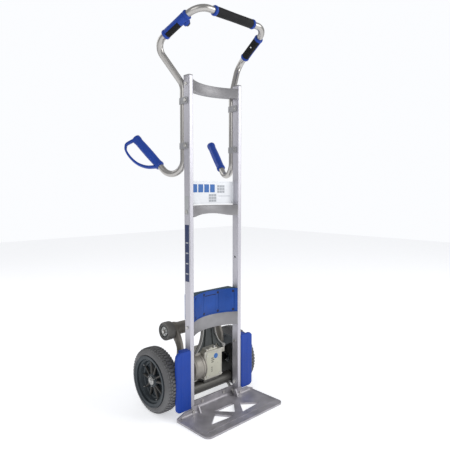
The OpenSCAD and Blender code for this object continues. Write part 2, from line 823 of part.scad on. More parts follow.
module support_tyre() {
  r = support_d / 2;
  edge = 5;
  color("gray") turned(lift_y, lift_z) {
    translate([24, support_x[0]]) square([r - 24 - edge, support_x[1] - support_x[0]]);
    translate([r - edge - 1, support_x[0] + edge]) square([edge + 1, support_x[1] - support_x[0] - 2 * edge]);
    for (x = [support_x[0] + edge, support_x[1] - edge]) translate([r - edge, x]) circle(edge);
  }
}
module support_tyre_right() { support_tyre(); }
module support_tyre_left() { mirror([1, 0, 0]) support_tyre(); }

module support_hub() {
  color("silver") turned(lift_y, lift_z) polygon([
    [support_axle_r + fit, support_x[0]], [24, support_x[0]], [24, support_x[1]],
    [20, support_x[1]], [18, support_x[1] - 3], [support_axle_r + fit, support_x[1] - 3]
  ]);
}
module support_hub_right() { support_hub(); }
module support_hub_left() { mirror([1, 0, 0]) support_hub(); }

module main_tyre() {
  r = wheel_d / 2;
  shoulder = 14;
  color("gray") turned(axle_y, axle_z) {
    translate([96, tyre_in + 6]) square([r - shoulder - 96, tyre_out - tyre_in - 12]);
    translate([r - shoulder - 1, tyre_in + shoulder])
      square([shoulder + 1, tyre_out - tyre_in - 2 * shoulder]);
    for (x = [tyre_in + shoulder, tyre_out - shoulder]) translate([r - shoulder, x]) circle(shoulder);
  }
}
module main_tyre_right() { main_tyre(); }
module main_tyre_left() { mirror([1, 0, 0]) main_tyre(); }

module main_rim() {
  web = [wheel_face_x - 38, wheel_face_x - 28];
  color("darkslategray") difference() {
    union() {
      turned(axle_y, axle_z) polygon([
        [88, tyre_in + 6], [96, tyre_in + 6], [96, tyre_out - 6], [rim_r, tyre_out - 6],
        [rim_r, wheel_face_x], [97, wheel_face_x], [88, wheel_face_x - 12]
      ]);
      rod_x(web, 89, axle_y, axle_z);
      rod_x(hub_x, 28, axle_y, axle_z);
    }
    rod_x([hub_x[0] - 1, hub_x[1] + 1], 17.5 + fit, axle_y, axle_z);
    // blind windows between five pairs of spokes
    for (i = [0 : 4]) translate([web[0] + 3, axle_y, axle_z]) rotate([i * 72, 0, 0])
      rotate([90, 0, 90]) linear_extrude(web[1] - web[0]) polygon([
        [34, -13], [82, -31], [86, -16], [86, 16], [82, 31], [34, 13]
      ]);
  }
}
module main_rim_right() { main_rim(); }
module main_rim_left() { mirror([1, 0, 0]) main_rim(); }

module wheel_bearings() {
  color("silver") for (x = [hub_x[0], hub_x[1] - 14]) difference() {
    rod_x([x, x + 14], 17.5, axle_y, axle_z);
    rod_x([x - 1, x + 15], axle_r + fit, axle_y, axle_z);
  }
}
module wheel_bearings_right() { wheel_bearings(); }
module wheel_bearings_left() { mirror([1, 0, 0]) wheel_bearings(); }

module hub_cap() {
  color("silver") difference() {
    union() {
      rod_x([hub_x[1], hub_x[1] + 4], 26, axle_y, axle_z);
      rod_x([hub_x[1], hub_x[1] + 12], 21, axle_y, axle_z);
    }
    rod_x([hub_x[1] - 1, hub_x[1] + 9.5], 17, axle_y, axle_z);
  }
}
module hub_cap_right() { hub_cap(); }
module hub_cap_left() { mirror([1, 0, 0]) hub_cap(); }

rail_left();
rail_right();
rail_caps();
crossbar_top();
crossbar_middle();
crossbar_lower();
frame_bolts();
name_panel();
drive_cover();
cover_screws();
control_housing();
control_board();
battery_pack();
battery_latch();
power_switch();
charge_socket();
wheel_guard_left();
wheel_guard_right();
toe_plate();
toe_plate_bolts();
side_tube_left();
side_tube_right();
top_tube();
top_grip();
grip_collars();
control_grip_shell();
control_grip_inlay();
direction_switch();
plain_grip_shell();
plain_grip_inlay();
status_light();
handle_clamps();
lower_grip_left();
lower_grip_right();
gearbox_housing();
gearbox_cover();
gearbox_screws();
motor_housing();
motor_rotor();
drive_pinion();
lift_gear();
lift_sleeve();
hanger();
axle_plates();
chassis_tube();
main_axle();
axle_nuts();
lift_frame();
support_tyre_left();
support_tyre_right();
support_hub_left();
support_hub_right();
main_tyre_left();
main_tyre_right();
main_rim_left();
main_rim_right();
wheel_bearings_left();
wheel_bearings_right();
hub_cap_left();
hub_cap_right();
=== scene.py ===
import json
import math

import bmesh
import bpy
from mathutils import Matrix, Vector


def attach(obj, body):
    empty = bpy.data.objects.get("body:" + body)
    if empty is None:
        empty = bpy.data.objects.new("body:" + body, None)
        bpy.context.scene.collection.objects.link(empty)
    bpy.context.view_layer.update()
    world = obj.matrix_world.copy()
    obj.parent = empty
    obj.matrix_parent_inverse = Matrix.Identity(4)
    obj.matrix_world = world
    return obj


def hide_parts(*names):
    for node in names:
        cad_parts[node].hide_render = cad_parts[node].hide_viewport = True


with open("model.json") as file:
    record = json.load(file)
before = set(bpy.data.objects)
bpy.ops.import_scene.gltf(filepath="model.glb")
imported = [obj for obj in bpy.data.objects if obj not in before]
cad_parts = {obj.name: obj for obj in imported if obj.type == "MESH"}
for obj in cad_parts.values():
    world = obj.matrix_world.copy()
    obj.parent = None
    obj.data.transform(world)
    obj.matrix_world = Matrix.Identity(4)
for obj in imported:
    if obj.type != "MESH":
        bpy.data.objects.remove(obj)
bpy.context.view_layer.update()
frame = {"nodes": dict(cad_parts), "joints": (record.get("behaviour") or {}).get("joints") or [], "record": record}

MM = 0.001
JOINTS = {joint["name"]: joint for joint in frame["joints"]}
AXLE = Vector(JOINTS["main_wheel_left_spin"]["pos_m"])
LIFT = Vector(JOINTS["support_wheel_left_spin"]["pos_m"])
MOTOR = Vector(JOINTS["motor_turn"]["pos_m"])
SIDES = ("left", "right")


# ---------------------------------------------------------------- materials
def link(tree, a, out, b, into):
    tree.links.new(a.outputs[out], b.inputs[into])


def coordinates(tree, scale):
    """Node that gives object coordinates, multiplied by scale."""
    place = tree.nodes.new("ShaderNodeTexCoord")
    mapping = tree.nodes.new("ShaderNodeMapping")
    mapping.inputs["Scale"].default_value = scale
    link(tree, place, "Object", mapping, "Vector")
    return mapping


def noise(tree, scale, stretch=(1, 1, 1), detail=4.0, rough=0.55):
    """Noise texture over the object coordinates."""
    node = tree.nodes.new("ShaderNodeTexNoise")
    node.inputs["Scale"].default_value = scale
    node.inputs["Detail"].default_value = detail
    node.inputs["Roughness"].default_value = rough
    link(tree, coordinates(tree, stretch), "Vector", node, "Vector")
    return node


def remap(tree, source, out, low, high, start=0.3, end=0.7):
    """Maps an output from start..end to low..high."""
    node = tree.nodes.new("ShaderNodeMapRange")
    node.inputs["From Min"].default_value = start
    node.inputs["From Max"].default_value = end
    node.inputs["To Min"].default_value = low
    node.inputs["To Max"].default_value = high
    link(tree, source, out, node, "Value")
    return node


def shade(colour, factor):
    return tuple(min(1.0, c * factor) for c in colour) + (1.0,)


def edge_mask(tree, radius):
    """1 where the surface bends sharply, 0 on flat parts."""
    bevel = tree.nodes.new("ShaderNodeBevel")
    bevel.samples = 4
    bevel.inputs["Radius"].default_value = radius
    geometry = tree.nodes.new("ShaderNodeNewGeometry")
    dot = tree.nodes.new("ShaderNodeVectorMath")
    dot.operation = "DOT_PRODUCT"
    link(tree, bevel, "Normal", dot, 0)
    link(tree, geometry, "Normal", dot, 1)
    return remap(tree, dot, "Value", 1.0, 0.0, 0.80, 0.99)


WEAR_RADIUS = 0.0018              # metres from an edge that its wear reaches
WEAR_SCALE = 60.0                 # noise scale that breaks the wear into patches


MATERIALS = {}


def surface(name, colour, rough=0.45, metal=0.0, spread=0.12, patch=9.0, stretch=(1, 1, 1),
            grain=700.0, bump=0.08, rough_spread=0.08, worn=None, wear=0.0, coat=0.0, specular=0.5):
    """Adds a material: patchy colour and roughness, fine grain in the relief, lighter worn edges."""
    mat = bpy.data.materials.new(name)
    mat.use_nodes = True
    tree = mat.node_tree
    shader = tree.nodes["Principled BSDF"]
    shader.inputs["Metallic"].default_value = metal
    shader.inputs["Specular IOR Level"].default_value = specular
    shader.inputs["Coat Weight"].default_value = coat
    shader.inputs["Coat Roughness"].default_value = 0.15

    patches = noise(tree, patch, stretch)
    mix = tree.nodes.new("ShaderNodeMix")
    mix.data_type = "RGBA"
    mix.inputs["A"].default_value = shade(colour, 1 - spread)
    mix.inputs["B"].default_value = shade(colour, 1 + spread)
    link(tree, remap(tree, patches, "Fac", 0.0, 1.0), "Result", mix, "Factor")
    last = mix
    if wear > 0:
        edges = tree.nodes.new("ShaderNodeMath")
        edges.operation = "MULTIPLY"
        link(tree, edge_mask(tree, WEAR_RADIUS), "Result", edges, 0)
        chips = remap(tree, noise(tree, WEAR_SCALE), "Fac", 0.0, wear, 0.4, 0.6)
        link(tree, chips, "Result", edges, 1)
        last = tree.nodes.new("ShaderNodeMix")
        last.data_type = "RGBA"
        last.inputs["B"].default_value = tuple(worn or shade(colour, 1.8)[:3]) + (1.0,)
        link(tree, mix, "Result", last, "A")
        link(tree, edges, "Value", last, "Factor")
    link(tree, last, "Result", shader, "Base Color")

    streaks = noise(tree, patch * 4, stretch)
    rough_map = remap(tree, streaks, "Fac", rough - rough_spread, rough + rough_spread)
    link(tree, rough_map, "Result", shader, "Roughness")

    relief = tree.nodes.new("ShaderNodeBump")
    relief.inputs["Strength"].default_value = bump
    relief.inputs["Distance"].default_value = 0.001
    link(tree, noise(tree, grain, stretch, detail=2.0), "Fac", relief, "Height")
    link(tree, relief, "Normal", shader, "Normal")
    MATERIALS[name] = mat
    return mat


ALONG_Z = (1, 1, 0.03)
ALONG_X = (0.03, 1, 1)
surface("rail_aluminium", (0.56, 0.55, 0.595), 0.40, 0.7, 0.05, 120.0, ALONG_Z, 900.0, 0.05)
surface("cast_aluminium", (0.30, 0.295, 0.305), 0.48, 0.5, 0.08, 30.0, bump=0.15, wear=0.5,
        worn=(0.75, 0.75, 0.76))
surface("black_plastic", (0.02, 0.021, 0.023), 0.5, bump=0.1, specular=0.3)
surface("plated_steel", (0.58, 0.57, 0.55), 0.3, 0.9, bump=0.03)
surface("white_panel", (0.82, 0.84, 0.87), 0.25, spread=0.02, bump=0.01, coat=0.3)
surface("cover_blue", (0.014, 0.070, 0.33), 0.42, spread=0.14, patch=14.0, bump=0.10, wear=0.25,
        worn=(0.05, 0.16, 0.45), specular=0.25)
surface("cover_teal", (0.006, 0.052, 0.085), 0.45, bump=0.08, specular=0.25)
surface("dark_screw", (0.008, 0.012, 0.05), 0.4, 0.3)
surface("circuit_board", (0.02, 0.16, 0.06), 0.4)
surface("battery_blue", (0.016, 0.06, 0.25), 0.45, bump=0.12)
surface("switch_red", (0.5, 0.02, 0.015), 0.3, bump=0.02)
surface("guard_blue", (0.011, 0.056, 0.36), 0.4, spread=0.10, patch=10.0, bump=0.10, wear=0.3,
        worn=(0.06, 0.15, 0.55), specular=0.25)
surface("toe_casting", (0.40, 0.385, 0.41), 0.42, 0.45, 0.20, 22.0, bump=0.35, grain=420.0, wear=0.6,
        worn=(0.42, 0.41, 0.43))
surface("handle_tube", (0.48, 0.465, 0.445), 0.28, 1.0, 0.02, 6.0, bump=0.0, rough_spread=0.01)
surface("rubber_black", (0.014, 0.014, 0.015), 0.62, bump=0.3, grain=500.0, specular=0.2)
surface("collar_blue", (0.014, 0.055, 0.33), 0.4, bump=0.05, specular=0.25)
surface("grip_blue", (0.014, 0.055, 0.33), 0.42, bump=0.08, specular=0.25)
surface("grip_black", (0.010, 0.010, 0.011), 0.6, bump=0.3, grain=400.0, specular=0.2)
surface("button_black", (0.012, 0.012, 0.014), 0.3, bump=0.05)
surface("lens_white", (0.8, 0.8, 0.78), 0.15, bump=0.0)
surface("clamp_grey", (0.36, 0.36, 0.37), 0.42, 0.5, bump=0.12, wear=0.5)
surface("lower_grip_blue", (0.014, 0.060, 0.36), 0.33, bump=0.06, patch=16.0, specular=0.3)
surface("gear_casting", (0.48, 0.465, 0.41), 0.42, 0.5, 0.12, 25.0, bump=0.2, wear=0.4)
surface("motor_casting", (0.33, 0.31, 0.275), 0.45, 0.55, 0.12, 25.0, bump=0.2, wear=0.4)
surface("gear_bronze", (0.55, 0.36, 0.15), 0.35, 0.9)
surface("gear_steel", (0.38, 0.38, 0.38), 0.35, 0.9)
surface("dark_casting", (0.050, 0.056, 0.056), 0.5, 0.3, 0.2, 30.0, bump=0.25, wear=0.7,
        worn=(0.25, 0.26, 0.24))
# near-black plate colour: partly a dark plate, partly painted shade of the space between gearbox and right rail
surface("plate_black", (0.018, 0.019, 0.020), 0.45, 0.3, bump=0.1, wear=0.5, worn=(0.10, 0.10, 0.10),
        specular=0.3)
surface("plate_steel", (0.38, 0.375, 0.36), 0.42, 0.5, bump=0.1, wear=0.4)
surface("dark_tube", (0.10, 0.097, 0.088), 0.40, 0.5, 0.15, 20.0, ALONG_X, bump=0.1)
surface("lift_casting", (0.25, 0.232, 0.205), 0.48, 0.45, 0.16, 24.0, bump=0.3, wear=0.4)
surface("grey_tyre", (0.145, 0.145, 0.148), 0.68, 0.0, 0.18, 12.0, bump=0.35, grain=350.0,
        worn=(0.24, 0.235, 0.23), wear=0.6, specular=0.35)
surface("support_hub", (0.42, 0.43, 0.42), 0.35, 0.8)
surface("rim_dark", (0.032, 0.042, 0.050), 0.42, 0.2, 0.2, 16.0, bump=0.12, wear=0.4,
        worn=(0.13, 0.14, 0.15))
surface("hub_cap", (0.42, 0.42, 0.41), 0.26, 1.0, bump=0.02)
surface("cap_grey", (0.30, 0.30, 0.31), 0.5, bump=0.05, specular=0.3)
# lighter grey copy of the rim's dark colour on the spokes: painted highlight; its lighter edges are wear
surface("spoke_highlight_grey", (0.085, 0.082, 0.078), 0.38, 0.3, 0.15, 30.0, bump=0.1, wear=0.5,
        worn=(0.20, 0.19, 0.18))
surface("small_tyre", (0.165, 0.160, 0.148), 0.6, 0.0, 0.12, 20.0, bump=0.2, specular=0.3)
surface("strip_blue", (0.010, 0.025, 0.10), 0.35, spread=0.05, bump=0.02)
surface("label_grey", (0.42, 0.43, 0.44), 0.35, spread=0.05, bump=0.02)
surface("mark_blue", (0.02, 0.13, 0.42), 0.3, spread=0.03, bump=0.01)
surface("mark_grey", (0.40, 0.42, 0.45), 0.3, spread=0.03, bump=0.01)
surface("plate_pale", (0.50, 0.49, 0.40), 0.35, 0.3, 0.06, 20.0, bump=0.04)
surface("shadow_black", (0.01, 0.01, 0.011), 0.8, bump=0.05)


# ---------------------------------------------------------------- mesh helpers
def piece(name, bm, body, slot, stands_for=(), material=None, bevel=0.0, crease=32, mirror_x=False):
    """Turns a bmesh (in millimetres) into a finished piece that rides on body."""
    bmesh.ops.scale(bm, vec=(MM * (-1 if mirror_x else 1), MM, MM), verts=bm.verts)
    bmesh.ops.recalc_face_normals(bm, faces=bm.faces)
    for edge in bm.edges:
        edge.smooth = edge.calc_face_angle(0.0) < math.radians(crease)
    for face in bm.faces:
        face.smooth = True
    mesh = bpy.data.meshes.new(name)
    bm.to_mesh(mesh)
    bm.free()
    obj = bpy.data.objects.new(name, mesh)
    bpy.context.scene.collection.objects.link(obj)
    mesh.materials.append(MATERIALS[material or slot])
    if bevel:
        soften(obj, bevel)
    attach(obj, body)
    if stands_for:
        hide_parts(*stands_for)
    return obj


def soften(obj, width_mm, segments=2, angle=35):
    """Rounds the edges that bend by more than angle degrees."""
    modifier = obj.modifiers.new("soft_edges", "BEVEL")
    modifier.width = width_mm * MM
    modifier.segments = segments
    modifier.limit_method = "ANGLE"
    modifier.angle_limit = math.radians(angle)
    modifier.harden_normals = True


def add_grid(bm, rings, close_ring=True, close_ends=False, loop=False):
    """Skins a list of rings of points; returns the rings as vertices."""
    rows = [[bm.verts.new(p) for p in ring] for ring in rings]
    count = len(rows[0])
    spans = count if close_ring else count - 1
    pairs = list(zip(rows, rows[1:])) + ([(rows[-1], rows[0])] if loop else [])
    for a, b in pairs:
        for k in range(spans):
            n = (k + 1) % count
            bm.faces.new((a[k], a[n], b[n], b[k]))
    if close_ends:
        bm.faces.new(rows[0])
        bm.faces.new(rows[-1])
    return rows


def around(count):
    """Evenly spaced angles of a full turn."""
    return [2 * math.pi * k / count for k in range(count)]


def add_lathe(bm, outline, centre, segments=96, closed=True):
    """Turns an outline of (x, radius) about the X axis through centre = (y, z), in millimetres."""
    rings = []
    for a in around(segments):
        rings.append([(x, centre[0] + r * math.cos(a), centre[1] + r * math.sin(a)) for x, r in outline])
    add_grid(bm, rings, close_ring=closed, loop=True)


def turned(outline, place, count=40):
    """Rings of an outline of (height, radius) turned about the Z axis of place."""
    return [[place @ Vector((r * math.cos(a), r * math.sin(a), h)) for h, r in outline]
            for a in around(count)]


def add_box(bm, low, high, matrix=None):
    """Box between two corners, then moved by matrix."""
    size = [b - a for a, b in zip(low, high)]
    middle = [(a + b) / 2 for a, b in zip(low, high)]
    place = Matrix.Translation(middle) @ Matrix.Diagonal((*size, 1))
    bmesh.ops.create_cube(bm, size=1, matrix=(matrix or Matrix()) @ place)


def about_x(angle, centre):
    """Turn about the X axis through centre = (y, z)."""
    move = Matrix.Translation((0, centre[0], centre[1]))
    return move @ Matrix.Rotation(angle, 4, "X") @ move.inverted()


def add_rod(bm, start, end, radius, segments=24, tip=None):
    """Closed round rod between two points; tip is the radius at the end."""
    start, end = Vector(start), Vector(end)
    turn = (end - start).to_track_quat("Z", "Y").to_matrix().to_4x4()
    place = Matrix.Translation((start + end) / 2) @ turn
    bmesh.ops.create_cone(bm, cap_ends=True, segments=segments, radius1=radius,
                          radius2=radius if tip is None else tip, depth=(end - start).length, matrix=place)


def rounded_route(corners, bends, step=6):
    """Points along straight lines joined by arcs of the given radii."""
    route = [Vector(corners[0])]
    for before, corner, after, radius in zip(corners, corners[1:], corners[2:], bends):
        before, corner, after = Vector(before), Vector(corner), Vector(after)
        into, out = (corner - before).normalized(), (after - corner).normalized()
        turn = into.angle(out)
        spin = into.cross(out).normalized()
        start = corner - into * radius * math.tan(turn / 2)
        arm = -spin.cross(into) * radius
        steps = max(1, math.ceil(math.degrees(turn) / step))
        for k in range(steps + 1):
            route.append(start - arm + Matrix.Rotation(turn * k / steps, 3, spin) @ arm)
    route.append(Vector(corners[-1]))
    return route


def carried_frames(route, side):
    """(point, side, up) along a route, carried without twist."""
    frames = []
    side = Vector(side)
    for i, point in enumerate(route):
        heading = (route[min(i + 1, len(route) - 1)] - route[max(i - 1, 0)]).normalized()
        side = (side - heading * side.dot(heading)).normalized()
        frames.append((point, side, heading.cross(side)))
    return frames


def add_sweep(bm, route, section, side=(1, 0, 0), scale=None):
    """Sweeps a closed section of (side, up) points along a route; scale gives a factor per point."""
    rings = []
    for i, (point, across, up) in enumerate(carried_frames(route, side)):
        f = scale(i / (len(route) - 1)) if scale else 1.0
        rings.append([point + across * a * f + up * b * f for a, b in section])
    add_grid(bm, rings, close_ends=True)


def round_section(radius, sides=28):
    return [(radius * math.cos(a), radius * math.sin(a)) for a in around(sides)]


def rounded_box_section(half_w, half_h, r, steps=4):
    """Rectangle of half sizes half_w and half_h with corners of radius r."""
    points = []
    for cx, cy, start in ((half_w - r, half_h - r, 0), (r - half_w, half_h - r, 90),
                          (r - half_w, r - half_h, 180), (half_w - r, r - half_h, 270)):
        for k in range(steps + 1):
            a = math.radians(start + 90 * k / steps)
            points.append((cx + r * math.cos(a), cy + r * math.sin(a)))
    return points


# ---------------------------------------------------------------- wheels
POLE = 0.01                       # radius at which a turned outline ends on its axis
WHEEL_R = 130.0
FACE_X = 248.0                    # outer face of a main wheel
HUB_END = FACE_X - 21
TYRE_IN = FACE_X - 70
TYRE_OUT = FACE_X - 4
RIM_R = 101.5
AXLE_YZ = (AXLE.y / MM, AXLE.z / MM)
TREAD_ROWS = 56
SPOKE_PAIRS = 5

# blocks across the tread: from, to, radius of the top, and how far they are shifted round
TREAD_BLOCKS = ((-9.5, 9.5, 129.9, 0.0), (11.0, 18.5, 129.3, 0.5), (-18.5, -11.0, 129.3, 0.5),
                (19.0, 24.5, 126.6, 0.5), (-24.5, -19.0, 126.6, 0.5))


def main_tyre(side):
    """Rounded carcass with a row of blocks on the crown and two on each shoulder."""
    bm = bmesh.new()
    middle = (TYRE_IN + TYRE_OUT) / 2
    half = (TYRE_OUT - TYRE_IN) / 2
    shoulder = [(12, 125.5), (18, 124.9), (22.5, 123.4), (27, 120.6), (30.4, 116.0), (31.6, 112.6),
                (32.6, 112.0), (half, 106.0), (32.6, 103.2), (30.5, 101.0), (half - 6, 97.5)]
    outline = [(middle, 125.6)]
    outline += [(middle + x, r) for x, r in shoulder]
    outline += [(middle - x, r) for x, r in reversed(shoulder)]
    add_lathe(bm, outline, AXLE_YZ, 120)
    y, z = AXLE_YZ
    pitch = 2 * math.pi / TREAD_ROWS
    for i in range(TREAD_ROWS):
        for low, high, top, shift in TREAD_BLOCKS:
            turn = about_x((i + shift) * pitch, AXLE_YZ)
            add_box(bm, (middle + low, y - 4.6, z + 118), (middle + high, y + 4.6, z + top), turn)
    piece(f"tyre_tread_{side}", bm, f"main_wheel_{side}", "grey_tyre", [f"main_tyre_{side}"],
          bevel=0.9, mirror_x=side == "left")


def main_rim(side):
    """Dished rim with a hub barrel, its paired spokes, and the bolts between the pairs."""
    body, mirrored = f"main_wheel_{side}", side == "left"
    bm = bmesh.new()
    # from the outer lip inwards, as depths behind the wheel's face
    dish = [(1.5, RIM_R), (0, 100.2), (0, 98.0), (2, 96.8), (3.2, 94.0), (3.2, 88.5), (5, 86.8), (13, 85.8),
            (15, 83.8), (16, 79.0), (29, 74.0), (31, 67.5), (35, 66.0), (36, 26.0), (38.5, 26.0), (38, 84.0)]
    outline = [(TYRE_IN + 5, 101.0), (TYRE_OUT - 5, 101.0)]
    outline += [(FACE_X - depth, r) for depth, r in dish]
    outline += [(TYRE_IN + 5, 92.0)]
    add_lathe(bm, outline, AXLE_YZ, 120)
    # hub barrel, hollow for the bearings
    barrel = [(FACE_X - 77, 18.2), (FACE_X - 77, 27.0), (HUB_END - 2, 27.0), (HUB_END, 25.0),
              (HUB_END, 18.2)]
    add_lathe(bm, barrel, AXLE_YZ, 48)
    piece(f"dished_rim_{side}", bm, body, "rim_dark", [f"main_rim_{side}"], bevel=0.5, mirror_x=mirrored)

    bm = bmesh.new()
    y, z = AXLE_YZ
    flattened = Matrix.Diagonal((1.0, 1.7, 1.0, 1.0))
    for a in around(SPOKE_PAIRS):
        for s in (-1, 1):
            spoke = Matrix.Translation((0, y, z)) @ Matrix.Rotation(a, 4, "X")
            foot = Vector((FACE_X - 26, s * 6, 24.0))
            head = Vector((FACE_X - 30, s * 19, 70.5))
            turn = (head - foot).normalized().to_track_quat("Z", "X").to_matrix().to_4x4()
            place = spoke @ Matrix.Translation((foot + head) / 2) @ turn @ flattened
            bmesh.ops.create_cone(bm, cap_ends=True, segments=10, radius1=4.6, radius2=3.0,
                                  depth=(head - foot).length, matrix=place)
    # spokes in a lighter grey than the rim they belong to: painted highlight
    piece(f"rim_spokes_{side}", bm, body, "rim_dark", material="spoke_highlight_grey", bevel=0.5, mirror_x=mirrored)

    bm = bmesh.new()
    for i in range(SPOKE_PAIRS):
        a = (i + 0.5) * 2 * math.pi / SPOKE_PAIRS
        at = (y + 76.5 * math.cos(a), z + 76.5 * math.sin(a))
        add_rod(bm, (FACE_X - 29, *at), (FACE_X - 21.5, *at), 3.0, 6)
        add_rod(bm, (FACE_X - 22.5, *at), (FACE_X - 20.2, *at), 2.0, 12, 1.2)
    piece(f"rim_bolts_{side}", bm, body, "plated_steel", bevel=0.3, mirror_x=mirrored)


def hub_cap(side):
    """Metal cap with three screws, in a dark seat on the end of the hub."""
    mirrored = side == "left"
    bm = bmesh.new()
    cap = [(3.5, POLE), (3.5, 17.8), (7.4, 17.2), (9.8, 15.0), (11.0, 11.5), (9.8, 10.4), (9.8, 7.6),
           (12.0, 6.6), (12.0, POLE)]
    add_lathe(bm, [(HUB_END + x, r) for x, r in cap], AXLE_YZ, 48, closed=False)
    y, z = AXLE_YZ
    for i in range(3):
        a = math.radians(30 + 120 * i)
        at = (y + 21.5 * math.cos(a), z + 21.5 * math.sin(a))
        add_rod(bm, (HUB_END + 3.5, *at), (HUB_END + 5.6, *at), 2.3, 6)
    piece(f"wheel_cap_{side}", bm, f"main_wheel_{side}", "hub_cap", [f"hub_cap_{side}"], bevel=0.3,
          mirror_x=mirrored)

    bm = bmesh.new()
    seat = [(0, 17.0), (0, 26.0), (2.5, 26.0), (4, 24.5), (4, 17.0)]
    add_lathe(bm, [(HUB_END + x, r) for x, r in seat], AXLE_YZ, 48)
    piece(f"cap_seat_{side}", bm, f"main_wheel_{side}", "rim_dark", bevel=0.3, mirror_x=mirrored)


SUPPORT_X = (122.0, 160.0)
LIFT_YZ = (LIFT.y / MM, LIFT.z / MM)


def support_wheel(side):
    """Small tyre on a dark ring with a bright disc, and the nut on the end of its axle."""
    body, mirrored = f"support_wheel_{side}", side == "left"
    inner, outer = SUPPORT_X
    bm = bmesh.new()
    inboard = [(1, 25.0), (1, 33.0), (3.5, 36.0), (8, 37.5)]
    outboard = [(7, 37.5), (2.6, 36.6), (0.4, 34.6), (0, 33.0), (0.4, 31.6), (1.8, 31.2), (2.0, 25.0)]
    tyre = [(inner + x, r) for x, r in inboard] + [(outer - x, r) for x, r in outboard]
    add_lathe(bm, tyre, LIFT_YZ, 72)
    piece(f"small_tyre_{side}", bm, body, "grey_tyre", [f"support_tyre_{side}"], material="small_tyre",
          mirror_x=mirrored)

    bm = bmesh.new()
    flange = [(8.0, 24.8), (2.4, 30.9), (1.0, 30.9), (1.0, 29.0), (6.0, 25.5), (7.0, 20.0), (8.5, 19.4),
              (8.5, 8.2)]
    ring = [(inner, 8.2), (inner, 24.8)] + [(outer - x, r) for x, r in flange]
    add_lathe(bm, ring, LIFT_YZ, 72)
    piece(f"small_wheel_ring_{side}", bm, body, "support_hub", [f"support_hub_{side}"], material="rim_dark",
          bevel=0.3, mirror_x=mirrored)

    bm = bmesh.new()
    disc = [(8.4, 9.0), (8.4, 19.2), (3.4, 19.2), (2.4, 18.2), (2.4, 17.0), (3.2, 16.4), (3.2, 9.6),
            (2.0, 8.8), (2.0, 8.2)]
    add_lathe(bm, [(outer - x, r) for x, r in disc], LIFT_YZ, 60)
    piece(f"small_wheel_disc_{side}", bm, body, "support_hub", bevel=0.25, mirror_x=mirrored)

    bm = bmesh.new()
    y, z = LIFT_YZ
    # black discs just proud of the disc's face stand for its holes: painted shade
    for a in around(6):
        at = (y + 13.0 * math.cos(a), z + 13.0 * math.sin(a))
        add_rod(bm, (outer - 3.6, *at), (outer - 3.0, *at), 2.3, 16)
    piece(f"small_wheel_holes_{side}", bm, body, "support_hub", material="shadow_black", mirror_x=mirrored)

    bm = bmesh.new()
    add_rod(bm, (outer - 2.0, y, z), (outer + 3.4, y, z), 6.4, 6)
    add_rod(bm, (outer + 3.0, y, z), (outer + 3.9, y, z), 3.4, 20)
    piece(f"lift_axle_nut_{side}", bm, "lift", "plated_steel", bevel=0.6, mirror_x=mirrored)


for side in SIDES:
    main_tyre(side)
    main_rim(side)
    hub_cap(side)
    support_wheel(side)


# ---------------------------------------------------------------- handle
RAIL_X = 130.0                    # middle of a rail, and of the side tube behind it
TUBE_R = 12.5
GRIP_BORE = 12.6                  # bore of what sits on the tube
TUBE_Y = 47.5
TOP_BAR = (-97.0, 1527.0)         # (y, z) of the top tube
LOW_Z = 948.0                     # lowest point of a side tube's centre line
LOW_BEND = 55.0
LOW_TURN = math.radians(19)       # lower grips turned outwards
LOW_SLOPE = math.radians(44)      # and sloped upwards
LOW_RUN = 182.0
REACH = LOW_BEND * math.tan(math.radians(45) + LOW_SLOPE / 2)
LOW_DIR = Vector((math.sin(LOW_TURN) * math.cos(LOW_SLOPE), math.cos(LOW_TURN) * math.cos(LOW_SLOPE),
                  math.sin(LOW_SLOPE)))
LOW_CORNER = Vector((RAIL_X, TUBE_Y, LOW_Z + LOW_BEND - REACH))
LOW_END = LOW_CORNER + LOW_DIR * (REACH + LOW_RUN)
ELBOWS = [(RAIL_X, TUBE_Y, 1284), (220, 100, 1426), (178, *TOP_BAR)]
BENDS = [LOW_BEND, 60, 48, 64]
TUBE_END = 98.0


def side_tube(side):
    """Tube from the lower grip's end, up the rail and round to the top bar."""
    bm = bmesh.new()
    route = rounded_route([LOW_END, LOW_CORNER, *ELBOWS, (TUBE_END, *TOP_BAR)], BENDS, 5)
    add_sweep(bm, route, round_section(TUBE_R, 32), (1, 0, 0))
    piece(f"bent_tube_{side}", bm, "frame", "handle_tube", [f"side_tube_{side}"], mirror_x=side == "left")


for side in SIDES:
    side_tube(side)

# knuckle guard: the side of the grip it stands on, and its line as (distance from the axis, along it)
GUARD_SIDE = Vector((0.73, 0.30, -0.62))
GUARD_LINE = [(14, 5), (42, 8), (53, 2), (64, -16), (68, -54), (62, -94), (43, -128), (15, -150)]


def grip_matrix(origin, along, towards):
    """Frame at origin: Z along the grip, X near towards."""
    z = along.normalized()
    y = z.cross(towards).normalized()
    x = y.cross(z)
    matrix = Matrix((x, y, z)).transposed().to_4x4()
    matrix.translation = origin
    return matrix


def smooth_line(points, per_span=6):
    """Catmull-Rom curve through the points."""
    pts = [Vector(p) for p in points]
    pts = [pts[0] * 2 - pts[1], *pts, pts[-1] * 2 - pts[-2]]
    line = []
    for a, b, c, d in zip(pts, pts[1:], pts[2:], pts[3:]):
        for k in range(per_span):
            t = k / per_span
            line.append(0.5 * ((2 * b) + (c - a) * t + (2 * a - 5 * b + 4 * c - d) * t * t
                               + (3 * b - a - 3 * c + d) * t ** 3))
    line.append(pts[-2])
    return line


